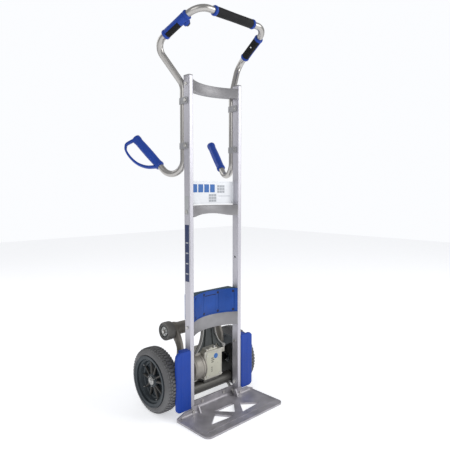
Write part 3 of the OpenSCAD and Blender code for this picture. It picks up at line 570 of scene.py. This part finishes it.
def lower_grip(side):
    """Moulded grip with its knuckle guard in one piece."""
    place = grip_matrix(LOW_END, LOW_DIR, GUARD_SIDE)
    bm = bmesh.new()
    # moulded sleeve: flared collar at each end, slightly barrelled between them
    stations = [(8.0, 12.0), (7.6, 15.5), (6.0, 17.9), (2.0, 18.5), (-7.0, 18.5), (-12.5, 17.3),
                (-22.0, 16.8), (-50.0, 17.5), (-90.0, 17.7), (-122.0, 17.1), (-140.0, 16.8),
                (-147.0, 17.6), (-151.0, 18.5), (-157.0, 18.5), (-159.4, 17.3), (-160.0, 15.0),
                (-160.0, GRIP_BORE)]
    rings = [[(r * math.cos(a), r * math.sin(a), z) for a in around(40)] for z, r in stations]
    add_grid(bm, rings, close_ends=True)
    guard = smooth_line([(d, 0, z) for d, z in GUARD_LINE])

    def swell(t):
        return 1.25 - 0.25 * math.sin(math.pi * t)

    add_sweep(bm, guard, rounded_box_section(4.3, 6.2, 2.2), (1, 0, 0), scale=swell)
    bm.transform(place)
    piece(f"knuckle_grip_{side}", bm, "frame", "lower_grip_blue", [f"lower_grip_{side}"],
          mirror_x=side == "left")


for side in SIDES:
    lower_grip(side)


# ---------------------------------------------------------------- grips
GRIP_ORIGIN = Vector((198.6, -0.47, 1477.5))
GRIP_UP = Vector((-0.1864, -0.8744, 0.4483))
GRIP_INNER = Vector((-0.8874, -0.0461, -0.4590))
INLAY_TURN = 50                   # turn of the control grip's inlay towards the front, in degrees
BOSS_AT = 34.0                    # place of the switch boss along the control grip
SIDE_GRIP = grip_matrix(GRIP_ORIGIN, GRIP_UP, GRIP_INNER)


def arc_sleeve(bm, stations, inner, start, end, steps=26):
    """Part of a sleeve about Z: stations of (z, radius) swept from start to end, in degrees."""
    loop = [*stations, (stations[-1][0], inner), (stations[0][0], inner)]
    rings = []
    for k in range(steps + 1):
        a = math.radians(start + (end - start) * k / steps)
        rings.append([(r * math.cos(a), r * math.sin(a), z) for z, r in loop])
    add_grid(bm, rings, close_ends=True)


def ribbed(z0, z1, radius, depth, pitch):
    """Stations of a ribbed sleeve between two heights, with rounded-off ribs of the given pitch."""
    stations = [(z0, radius - depth)]
    count = int((z1 - z0) / pitch)
    for k in range(count):
        z = z0 + (k + 0.15) * pitch
        stations += [(z, radius - depth), (z + 0.15 * pitch, radius), (z + 0.6 * pitch, radius),
                     (z + 0.75 * pitch, radius - depth)]
    return stations + [(z1, radius - depth)]


def top_grip():
    bm = bmesh.new()
    stations = [(-92, GRIP_BORE), (-92, 15.0), (-90.5, 16.4), (-84, 17.2), (0, 16.6), (84, 17.2),
                (90.5, 16.4), (92, 15.0), (92, GRIP_BORE)]
    add_lathe(bm, stations, TOP_BAR, 48)
    piece("foam_top_grip", bm, "frame", "rubber_black", ["top_grip"])


def grip_collar(name, place, mirror_x=False):
    """Moulded collar about Z with a rounded bead, 12 mm long."""
    bm = bmesh.new()
    outline = [(-6, GRIP_BORE), (-6, 15.5), (-5, 17.3), (-2.5, 18.4), (2.5, 18.4), (5, 17.3), (6, 15.5),
               (6, GRIP_BORE)]
    add_grid(bm, turned(outline, Matrix()), loop=True)
    bm.transform(place)
    return piece(name, bm, "frame", "collar_blue", mirror_x=mirror_x)


def collars():
    """Three collars on each side: at the top grip's end and at both ends of the side grip."""
    top = [Matrix.Translation((98, *TOP_BAR)) @ Matrix.Rotation(math.pi / 2, 4, "Y")]
    sides = [SIDE_GRIP @ Matrix.Translation((0, 0, s * 55)) for s in (-1, 1)]
    first = None
    for side in SIDES:
        for i, place in enumerate(top + sides):
            made = grip_collar(f"grip_collar_{side}_{i}", place, side == "left")
            first = first or made
    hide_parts("grip_collars")


def side_grip(side):
    """Two-shot grip: coloured shell round the outside, ribbed soft inlay on the inner underside."""
    control = side == "left"
    kind = "control" if control else "plain"
    inlay_top = 15.0 if control else 49.0
    turn = INLAY_TURN if control else 0
    body_line = [(-49, 16.4), (-46, 17.4), (-20, 16.9), (10, 17.1), (46, 17.4), (49, 16.4)]
    bm = bmesh.new()
    arc_sleeve(bm, body_line, GRIP_BORE, 75 + turn, 285 + turn, 40)
    if control:
        bridge = [(16, 17.0), (20, 17.4), (46, 17.4), (49, 16.4)]
        arc_sleeve(bm, bridge, GRIP_BORE, turn - 75, turn + 75, 24)
        boss = grip_matrix((13, 0, BOSS_AT), Vector((1, 0, 0)), Vector((0, 0, 1)))
        outline = [(0, 14.0), (9.5, 14.0), (11.5, 13.4), (12.0, 12.6), (11.6, 11.6), (5.0, 11.5)]
        add_grid(bm, turned(outline, boss), close_ring=False, loop=True)
    bm.transform(SIDE_GRIP)
    piece(f"grip_shell_{side}", bm, "frame", "grip_blue", [f"{kind}_grip_shell"], bevel=0.5,
          mirror_x=control)

    bm = bmesh.new()
    arc_sleeve(bm, ribbed(-48.6, inlay_top, 17.0, 0.9, 5.2), GRIP_BORE, turn - 74, turn + 74, 30)
    bm.transform(SIDE_GRIP)
    piece(f"grip_inlay_{side}", bm, "frame", "grip_black", [f"{kind}_grip_inlay"], mirror_x=control)


def direction_button():
    bm = bmesh.new()
    place = SIDE_GRIP @ grip_matrix((19.6, 0, BOSS_AT), Vector((1, 0, 0)), Vector((0, 0, 1)))
    outline = [(0, POLE), (0, 9.3), (9.0, 9.3), (10.6, 8.8), (11.6, 7.4), (11.4, 4.0), (10.9, POLE)]
    add_grid(bm, turned(outline, place), close_ring=False, loop=True)
    piece("rocker_button", bm, "direction_rocker", "button_black", ["direction_switch"], mirror_x=True)


top_grip()
collars()
for side in SIDES:
    side_grip(side)
direction_button()


# ---------------------------------------------------------------- wheel guards
GUARD_X = (140.0, 209.0)
GUARD_Z = (28.0, 265.0)
GUARD_FACE = -2.2                 # front face
GUARD_BACK = 31.0                 # back beside the rail
GUARD_LIP = 9.0                   # back in front of the wheel
GUARD_CORNER = 20.0
GUARD_ROUND = 6.0                 # rounding of the front's outline
GUARD_RIDGES = (151.0, 178.0, 184.0)
RIDGE_HALF = 2.2
RIDGE_HEIGHT = 0.8


def guard_front(x, low, high, z):
    """Depth of the guard's front face, rounded towards its outline and raised along the ridges."""
    edge = max(0.0, min(GUARD_X[1] - x, z - low, high - z, GUARD_ROUND))
    y = GUARD_FACE + GUARD_ROUND - math.sqrt(max(0.0, GUARD_ROUND ** 2 - (GUARD_ROUND - edge) ** 2))
    ridge = max(max(0.0, 1 - abs(x - r) / RIDGE_HALF) for r in GUARD_RIDGES)
    inset = min(1.0, max(0.0, (edge - 4.5) / 1.5))
    return y - RIDGE_HEIGHT * ridge * inset


def guard_behind(x, z):
    """Depth of its back: deep beside the rail, thin and hollowed where the main wheel turns."""
    if x < TYRE_IN - 3:
        return GUARD_BACK
    reach = max(0.0, (WHEEL_R + 3.2) ** 2 - (z - AXLE_YZ[1]) ** 2)
    return min(GUARD_LIP, AXLE_YZ[0] - math.sqrt(reach))


def wheel_guard(side):
    """Height field of the front joined to that of the back round all four sides."""
    bm = bmesh.new()
    inner = TYRE_IN - 3
    xs = [140, 143, 146, *range(148, 174, 2), inner - 0.1, inner, *range(178, 203, 2)]
    xs += [GUARD_X[1] - inset for inset in (4.5, 3, 2, 1, 0.3, 0)]
    rows = 90
    fronts, backs = [], []
    for x in xs:
        over = max(0.0, x - (GUARD_X[1] - GUARD_CORNER))
        cut = GUARD_CORNER - math.sqrt(GUARD_CORNER ** 2 - over ** 2)
        low, high = GUARD_Z[0] + cut, GUARD_Z[1] - cut
        front, back = [], []
        for k in range(rows + 1):
            t = (1 - math.cos(math.pi * k / rows)) / 2
            z = low + (high - low) * t
            y = guard_front(x, low, high, z)
            front.append((x, y, z))
            back.append((x, max(y + 2.0, guard_behind(x, z)), z))
        fronts.append(front)
        backs.append(back)
    a = add_grid(bm, fronts, close_ring=False)
    b = add_grid(bm, backs, close_ring=False)
    for i in range(len(a) - 1):
        for k in (0, rows):
            bm.faces.new((a[i][k], a[i + 1][k], b[i + 1][k], b[i][k]))
    for i in (0, len(a) - 1):
        for k in range(rows):
            bm.faces.new((a[i][k], a[i][k + 1], b[i][k + 1], b[i][k]))
    bmesh.ops.remove_doubles(bm, verts=bm.verts, dist=0.001)
    piece(f"moulded_guard_{side}", bm, "frame", "guard_blue", [f"wheel_guard_{side}"],
          mirror_x=side == "left")


for side in SIDES:
    wheel_guard(side)


# ---------------------------------------------------------------- toe plate
TOE_HALF = 210.0
TOE_FRONT = -180.0
TOE_T = 8.0
TOE_RIM_IN = 9.0                  # inset of the low rim from the plate's sides


def add_fillet_strip(bm, start, end, radius, steps=6):
    """Concave fillet on the plate, in front of the wall that runs from start to end."""
    start, end = Vector(start), Vector(end)
    towards, up = Vector((0, -1, 0)), Vector((0, 0, 1))
    section = [Vector((0, 0))]
    for k in range(steps + 1):
        a = math.pi / 2 * k / steps
        section.append(Vector((radius * (1 - math.sin(a)), radius * (1 - math.cos(a)))))
    rings = [[base + towards * s.x + up * s.y for s in section] for base in (start, end)]
    add_grid(bm, rings, close_ends=True)


def toe_casting():
    """Ribs, fillets and rim that the casting has on top of its plate."""
    bm = bmesh.new()
    # low rim just inside the front edge and along both sides
    side, front = TOE_HALF - TOE_RIM_IN, TOE_FRONT + 32
    rim = rounded_route([(-side, -12, TOE_T), (-side, front, TOE_T), (side, front, TOE_T),
                         (side, -12, TOE_T)], [14, 14], 10)
    add_sweep(bm, rim, [(-1.6, -1.0), (1.6, -1.0), (0.9, 0.9), (-0.9, 0.9)], (0, 1, 0))
    # fillets where the upstands rise from the plate
    for s in (-1, 1):
        add_fillet_strip(bm, (s * 99, -5, TOE_T), (s * 190, -5, TOE_T), 9)
    add_fillet_strip(bm, (-118, 24, TOE_T), (118, 24, TOE_T), 12)
    # gussets beside the rails' feet
    for s in (-1, 1):
        corner = [(s * 104 - 3, -5, TOE_T), (s * 104 - 3, -20, TOE_T), (s * 104 - 3, -5, 36)]
        far = [(x + 6, y, z) for x, y, z in corner]
        add_grid(bm, [corner, far], close_ends=True)
    piece("toe_ribs", bm, "frame", "toe_casting", bevel=0.7)


def foot_struts():
    """Flat struts from the rails' feet back to the side plates."""
    bm = bmesh.new()
    for s in (-1, 1):
        route = [Vector((s * 111, 8, 14)), Vector((s * 110, 34, 34)), Vector((s * 107, 60, 60))]
        add_sweep(bm, route, rounded_box_section(7, 2, 1.2, 2), (1, 0, 0))
    piece("foot_struts", bm, "frame", "plated_steel", material="plate_steel", bevel=0.4)


toe_casting()
foot_struts()


# ---------------------------------------------------------------- name panel and rail strips
PANEL_FACE = 28.0
MARK_SUNK = 0.5                   # depth of a printed mark below its surface
MARK_PROUD = 0.1                  # and its height above the panel
RAIL_OUTER = -140.0


def panel_marks():
    """Plain bars in place of any print: a bold row, and small tabs beside and under it."""
    near, far = PANEL_FACE - MARK_SUNK, PANEL_FACE + MARK_PROUD
    bm = bmesh.new()
    for k in range(4):
        x = -104 + k * 31
        add_box(bm, (x, near, 876), (x + 25, far, 908))
    piece("panel_bars", bm, "frame", "white_panel", material="mark_blue", bevel=0.15)
    bm = bmesh.new()
    for left, low in ((28, 874), (-18, 838)):
        for k in range(9):
            x, z = left + 14 * (k % 3), low + 11 * (k // 3)
            add_box(bm, (x, near, z), (x + 12, far, z + 9))
    add_box(bm, (34, near, 860), (100, far, 862))
    piece("panel_tabs", bm, "frame", "white_panel", material="mark_grey", bevel=0.15)


def rail_strips():
    """Plain strip and label on the outside of the left rail."""
    skin = RAIL_OUTER - 0.5, RAIL_OUTER + 0.2
    bm = bmesh.new()
    add_box(bm, (skin[0], 5, 532), (skin[1], 29, 752))
    piece("rail_strip_blue", bm, "frame", "rail_aluminium", material="strip_blue", bevel=0.2)
    bm = bmesh.new()
    add_box(bm, (skin[0], 6, 791), (skin[1], 28, 863))
    for z in (560, 600, 640, 680):
        add_box(bm, (RAIL_OUTER - 0.7, 9, z), (RAIL_OUTER - 0.3, 25, z + 5))
    piece("rail_strip_label", bm, "frame", "rail_aluminium", material="label_grey", bevel=0.2)


panel_marks()
rail_strips()


# ---------------------------------------------------------------- gear unit
def motor_body():
    """Ribbed motor with a machined flange ring towards the gearbox."""
    centre = (MOTOR.y / MM, MOTOR.z / MM)
    outline = [(-98, POLE), (-98, 46), (-96.5, 49.5), (-93.5, 51.0), (-90, 51.4), (-89, 52.8),
               (-87, 53.2), (-61, 53.2), (-60, 51.8), (-57, 51.8), (-56, 53.9), (-48.5, 53.9),
               (-47.5, 51.0), (-45.5, 51.0), (-44.5, 54.0), (-41, 54.0), (-40.1, 52.5), (-40.1, POLE)]
    bm = bmesh.new()
    add_lathe(bm, outline, centre, 96, closed=False)
    add_box(bm, (-76, 48, 192), (-48, 61.5, 221.6))
    y, z = centre
    for k in range(8):
        a = math.radians(22.5 + 45 * k)
        at = (y + 43 * math.cos(a), z + 43 * math.sin(a))
        add_rod(bm, (-99.0, *at), (-97.5, *at), 3.2, 6)
    piece("motor_can", bm, "frame", "motor_casting", ["motor_housing"], bevel=0.6)


PLATE_Y = (30.4, 32.4)            # front and back of the plate on the gearbox


def gearbox_face():
    """Plain plate, round badge, marks and screws on the front of the gearbox."""
    face, back = PLATE_Y
    bm = bmesh.new()
    outline = [(-30, 112), (46, 112), (48, 114), (48, 180), (45, 193), (36, 204), (22, 212), (4, 216),
               (-22, 216), (-30, 211), (-32, 204), (-32, 114)]
    add_grid(bm, [[(x, y, z) for x, z in outline] for y in (face, back)], close_ends=True)
    piece("gearbox_plate", bm, "frame", "gear_casting", material="plate_pale", bevel=0.5)
    bm = bmesh.new()
    add_rod(bm, (21, face - 0.7, 196), (21, face + 0.8, 196), 11, 40)
    piece("gearbox_badge", bm, "frame", "gear_casting", material="mark_blue", bevel=0.3)
    bm = bmesh.new()
    for z, w in ((188, 12), (180, 16), (172, 12), (150, 6), (142, 6), (134, 6)):
        add_box(bm, (-4, face - 0.5, z), (-4 + w, face + 0.6, z + 3))
    piece("gearbox_marks", bm, "frame", "gear_casting", material="shadow_black", bevel=0.2)
    bm = bmesh.new()
    for x, z in ((-26, 118), (42, 118), (-26, 204), (40, 186)):
        add_rod(bm, (x, face, z), (x, face - 1.5, z), 3.4, 6)
    piece("gearbox_bolts", bm, "frame", "plated_steel", bevel=0.4)


def gearbox_top():
    """Raised lid with a plug on the gearbox, and the dark saddle between gearbox and chassis tube."""
    bm = bmesh.new()
    add_box(bm, (-28, 36, 219), (36, 92, 229))
    add_rod(bm, (2, 45, 227), (2, 45, 235), 12, 32, 8)
    piece("gearbox_lid", bm, "frame", "gear_casting", bevel=4)
    bm = bmesh.new()
    add_rod(bm, (24, 44, 228), (24, 44, 232), 6.5, 6)
    add_rod(bm, (24, 44, 231), (24, 44, 236), 4.5, 20, 3.0)
    add_rod(bm, (-20, 44, 227), (-20, 44, 231), 5.5, 6)
    piece("gearbox_plugs", bm, "frame", "plated_steel", bevel=0.6)
    bm = bmesh.new()
    add_box(bm, (-36, 40, 88), (50, 84, 107))
    piece("gearbox_saddle", bm, "frame", "dark_tube", bevel=5)


# curved edges of the hanger's legs, from the top down
HANGER_EDGES = {"left": [(-37, 317), (-41, 286), (-52, 254), (-76, 222)],
                "right": [(28, 317), (33, 290), (50, 256), (84, 222)]}
RIB_HALF = 1.6


def hanger():
    """Dark plate that carries the gear unit, with light flanges along its curved legs."""
    left, right = (smooth_line([(x, 0, z) for x, z in HANGER_EDGES[side]]) for side in SIDES)
    arch = [(-48, 222), (-34, 238), (48, 238), (60, 216), (86, 216)]
    outline = left + [Vector((x, 0, z)) for x, z in arch] + right[::-1]
    bm = bmesh.new()
    add_grid(bm, [[(p.x, y, p.z) for p in outline] for y in (50, 58)], close_ends=True)
    for top, foot in ((-18, -26), (12, 22)):
        rib = [(top - RIB_HALF, 317), (top + RIB_HALF, 317), (foot + RIB_HALF, 239), (foot - RIB_HALF, 239)]
        add_grid(bm, [[(x, y, z) for x, z in rib] for y in (45, 51)], close_ends=True)
    piece("hanger_plate", bm, "frame", "dark_casting", ["hanger"], bevel=0.8)
    bm = bmesh.new()
    for edge, inwards in ((left, 1), (right, -1)):
        route = [p + Vector((inwards * 1.5, 48, 0)) for p in edge]
        add_sweep(bm, route, [(-1.5, -6.5), (1.5, -6.5), (1.5, 6.5), (-1.5, 6.5)], (1, 0, 0))
    add_rod(bm, (79, 42, 226), (79, 60, 226), 8.0, 32)
    add_rod(bm, (79, 40.5, 226), (79, 42.5, 226), 4.5, 6)
    piece("hanger_flanges", bm, "frame", "dark_casting", material="plate_steel", bevel=0.5)


motor_body()
gearbox_face()
gearbox_top()
hanger()


# ---------------------------------------------------------------- lift frame
ARM_X = (104.0, 118.0)
LIFT_TUBE_R = 26.0
# the arm's middle line as (y, z, half width), from the axle up to the support wheels
ARM_LINE = [(133, 130, 27.0), (117, 170, 20.5), (103, 212, 17.0), (104, 250, 17.5), (125, 288, 22.5),
            (147, 310, 28.0)]


def arm_outline(steps=8):
    """Outline of the cast arm: a band of changing width along a smooth line, with round ends."""
    line = smooth_line(ARM_LINE, steps)
    one, other = [], []
    for i, p in enumerate(line):
        heading = (line[min(i + 1, len(line) - 1)] - line[max(i - 1, 0)]).to_2d().normalized()
        across = Vector((-heading.y, heading.x))
        one.append(p.to_2d() + across * p.z)
        other.append(p.to_2d() - across * p.z)
    ends = []
    for p, first, sweep in ((line[-1], one[-1], -1), (line[0], other[0], -1)):
        start = first - p.to_2d()
        ends.append([p.to_2d() + Matrix.Rotation(sweep * math.pi * k / 14, 2) @ start for k in range(1, 14)])
    return one + ends[0] + other[::-1] + ends[1]


def lift_frame():
    """Two cast arms with softened edges, the cross tube between them and the stub axles."""
    outline = arm_outline()
    low, high = ARM_X
    sections = [(low, 2.5), (low + 1.2, 0.8), (low + 3, 0), (high - 3, 0), (high - 1.2, 0.8), (high, 2.5)]
    bm = bmesh.new()
    for s in (-1, 1):
        rings = []
        for x, inset in sections:
            ring = []
            for i, p in enumerate(outline):
                along = (outline[(i + 1) % len(outline)] - outline[i - 1]).normalized()
                q = p + Vector((along.y, -along.x)) * inset
                ring.append((s * x, q.x, q.y))
            rings.append(ring)
        add_grid(bm, rings, close_ends=True)
    # cross tube that flares into the arms, and the seats and stubs of the axles
    flare = [(28, LIFT_TUBE_R), (30, LIFT_TUBE_R), (84, LIFT_TUBE_R), (92, 26.6), (98, 28.4), (103, 30.0),
             (110, 30.0), (110, POLE)]
    tube = [(-x, r) for x, r in reversed(flare)] + flare
    add_lathe(bm, tube, LIFT_YZ, 64, closed=False)
    seat = [(117, POLE), (117, 20.0), (119.5, 18.0), (121.4, 14.0), (121.4, POLE)]
    for s in (-1, 1):
        add_lathe(bm, [(s * x, r) for x, r in seat], LIFT_YZ, 48, closed=False)
        add_rod(bm, (s * 119, *LIFT_YZ), (s * 162, *LIFT_YZ), 7.9, 32)
    piece("cast_lift_frame", bm, "lift", "lift_casting", ["lift_frame"], crease=40)


lift_frame()


# ---------------------------------------------------------------- drive cover, controls and battery
BOW_R = 200.0                     # radius of the bowed front, and the depth of its axis
BOW_Y = -math.sqrt(BOW_R ** 2 - 120.0 ** 2)
COVER_Z = (371.0, 472.0)
COVER_BACK = 59.5
HOUSING_BACK = 98.0
PACK_BACK = 94.5


def bow_route(half, z, out=0.0, steps=40):
    """Points along the bowed face between x = -half and half, set off from it by out."""
    reach = math.asin(half / BOW_R)
    route = []
    for k in range(steps + 1):
        a = -reach + 2 * reach * k / steps
        route.append(Vector(((BOW_R + out) * math.sin(a), BOW_Y + (BOW_R + out) * math.cos(a), z)))
    return route


def cover_details():
    """Lips along the edges of the bowed cover, seats of its screws, its top and a slot in its face."""
    bm = bmesh.new()
    for z in (COVER_Z[0] + 3.4, COVER_Z[1] - 2.2):
        add_sweep(bm, bow_route(118, z), [(-1.6, -1.2), (0.6, -1.9), (0.6, 1.9), (-1.6, 1.2)], (0, 1, 0))
    piece("cover_lips", bm, "frame", "cover_blue", bevel=0.5)

    bm = bmesh.new()
    for x in (-103, -38, 38, 103):
        outward = Vector((x / BOW_R, math.sqrt(1 - (x / BOW_R) ** 2), 0))
        for z in (382, 460):
            face = Vector((0, BOW_Y, z)) + outward * BOW_R
            add_rod(bm, face - outward * 0.25, face + outward * 0.6, 5.4, 24)
    piece("cover_screw_seats", bm, "frame", "dark_screw", bevel=0.15)

    bm = bmesh.new()
    front = bow_route(118.5, COVER_Z[1] - 0.3, 0.8)
    back = [Vector((p.x, COVER_BACK, p.z)) for p in front]
    raised = [[p + Vector((0, 0, 0.6)) for p in row] for row in (back, front)]
    add_grid(bm, [front, back, *raised], close_ring=False, loop=True)
    bm.faces.ensure_lookup_table()
    bmesh.ops.holes_fill(bm, edges=[edge for edge in bm.edges if edge.is_boundary])
    piece("cover_top", bm, "frame", "cover_blue", material="cover_teal")

    bm = bmesh.new()
    slot = [(-0.5, -1.3), (0.5, -1.3), (0.5, 1.3), (-0.5, 1.3)]
    add_sweep(bm, bow_route(30, 453.5, -0.2), slot, (0, 1, 0))
    piece("cover_slot", bm, "frame", "cover_blue", material="shadow_black", bevel=0.2)


def housing_details():
    """Cooling slots, lid seam and screws on the back of the control housing, and the battery's ribs."""
    bm = bmesh.new()
    low, high = HOUSING_BACK - 0.6, HOUSING_BACK + 0.2
    # the cooling slots are black strips on the back: painted shade; the thin line under them is the lid's seam
    for k in range(6):
        x = -70 + 7 * k
        add_box(bm, (x, low, 402), (x + 3.4, high, 434))
        add_box(bm, (-x - 3.4, low, 402), (-x, high, 434))
    add_box(bm, (-82, low, 393), (82, high, 394.2))
    piece("housing_slots", bm, "frame", "black_plastic", material="shadow_black", bevel=0.2)
    bm = bmesh.new()
    for x in (-77, 77):
        for z in (380, 440):
            add_rod(bm, (x, HOUSING_BACK - 1, z), (x, HOUSING_BACK + 1.2, z), 3.6, 24)
    piece("housing_screws", bm, "frame", "dark_screw", bevel=0.4)

    bm = bmesh.new()
    for z in (450.5, 455):
        add_box(bm, (-40, PACK_BACK - 0.6, z), (40, PACK_BACK + 0.8, z + 1.8))
    piece("battery_ribs", bm, "battery", "battery_blue", bevel=0.5)


cover_details()
housing_details()


# ---------------------------------------------------------------- CAD nodes that keep their own mesh
# width of the rounding that each gets on its edges, in millimetres
SOFT_EDGES = {
    "rail_left": 0.6, "rail_right": 0.6, "rail_caps": 0.8, "crossbar_top": 1.0, "crossbar_middle": 1.0,
    "crossbar_lower": 1.0, "frame_bolts": 0.8, "drive_cover": 1.4, "control_housing": 2.0,
    "battery_pack": 2.5, "toe_plate": 1.4, "toe_plate_bolts": 0.6, "handle_clamps": 1.6,
    "gearbox_housing": 2.0, "gearbox_cover": 1.2, "axle_plates": 1.0, "power_switch": 0.5,
    "battery_latch": 0.6,
}
SLOT_OF = {part["node"]: part["material_slot"] for part in frame["record"]["subparts"]}
LOOK_OF = {"rail_caps": "cap_grey"}  # nodes with another material than their slot's
for name, node in frame["nodes"].items():
    look = LOOK_OF.get(name, SLOT_OF[name])
    node.data.materials.clear()
    node.data.materials.append(MATERIALS[look])
    if name in SOFT_EDGES:
        weld = node.modifiers.new("joined_faces", "WELD")
        weld.merge_threshold = 0.00001
        soften(node, SOFT_EDGES[name])


# ---------------------------------------------------------------- floor, light, camera
DAYLIGHT = (0.97, 0.98, 1.0, 1.0)
WORLD_LIGHT = 0.45                # strength of the backdrop as a light; the camera sees it at 1


def studio():
    """Pale floor, white backdrop and three soft lamps."""
    bpy.ops.mesh.primitive_plane_add(size=14, location=(0, 0, 0))
    floor = bpy.context.object
    floor.name = "floor"
    pale = surface("floor_pale", (0.93, 0.93, 0.94), 0.7, spread=0.01, bump=0.0, specular=0.1)
    shader = pale.node_tree.nodes["Principled BSDF"]
    shader.inputs["Emission Color"].default_value = DAYLIGHT
    shader.inputs["Emission Strength"].default_value = 0.5
    floor.data.materials.append(pale)

    world = bpy.data.worlds.new("studio")
    world.use_nodes = True
    background = world.node_tree.nodes["Background"]
    background.inputs["Color"].default_value = DAYLIGHT
    rays = world.node_tree.nodes.new("ShaderNodeLightPath")
    strength = remap(world.node_tree, rays, "Is Camera Ray", WORLD_LIGHT, 1.0, 0.0, 1.0)
    link(world.node_tree, strength, "Result", background, "Strength")
    bpy.context.scene.world = world

    target = Vector((0, 0, 0.75))
    # name, place, size in metres, power in watts
    lamps = [("key", (2.4, -3.0, 2.2), 2.6, 62.0), ("fill", (-2.8, -2.0, 2.6), 2.2, 20.0),
             ("back", (-1.2, 2.8, 2.6), 2.0, 15.0)]
    for name, place, size, power in lamps:
        data = bpy.data.lights.new(name, "AREA")
        data.size = size
        data.energy = power
        lamp = bpy.data.objects.new(name, data)
        bpy.context.scene.collection.objects.link(lamp)
        lamp.location = place
        lamp.rotation_euler = (target - Vector(place)).to_track_quat("-Z", "Y").to_euler()


def camera():
    """Camera at the photograph's viewing angle."""
    data = bpy.data.cameras.new("camera")
    data.sensor_width = 36.0
    data.lens = 36.78
    data.clip_end = 50
    eye = bpy.data.objects.new("camera", data)
    bpy.context.scene.collection.objects.link(eye)
    eye.location = (-1.2452, -1.3548, 0.8805)
    eye.rotation_euler = (math.radians(85.8), 0, math.radians(-43.6))
    bpy.context.scene.camera = eye


studio()
camera()
bpy.context.scene.view_settings.view_transform = "Standard"
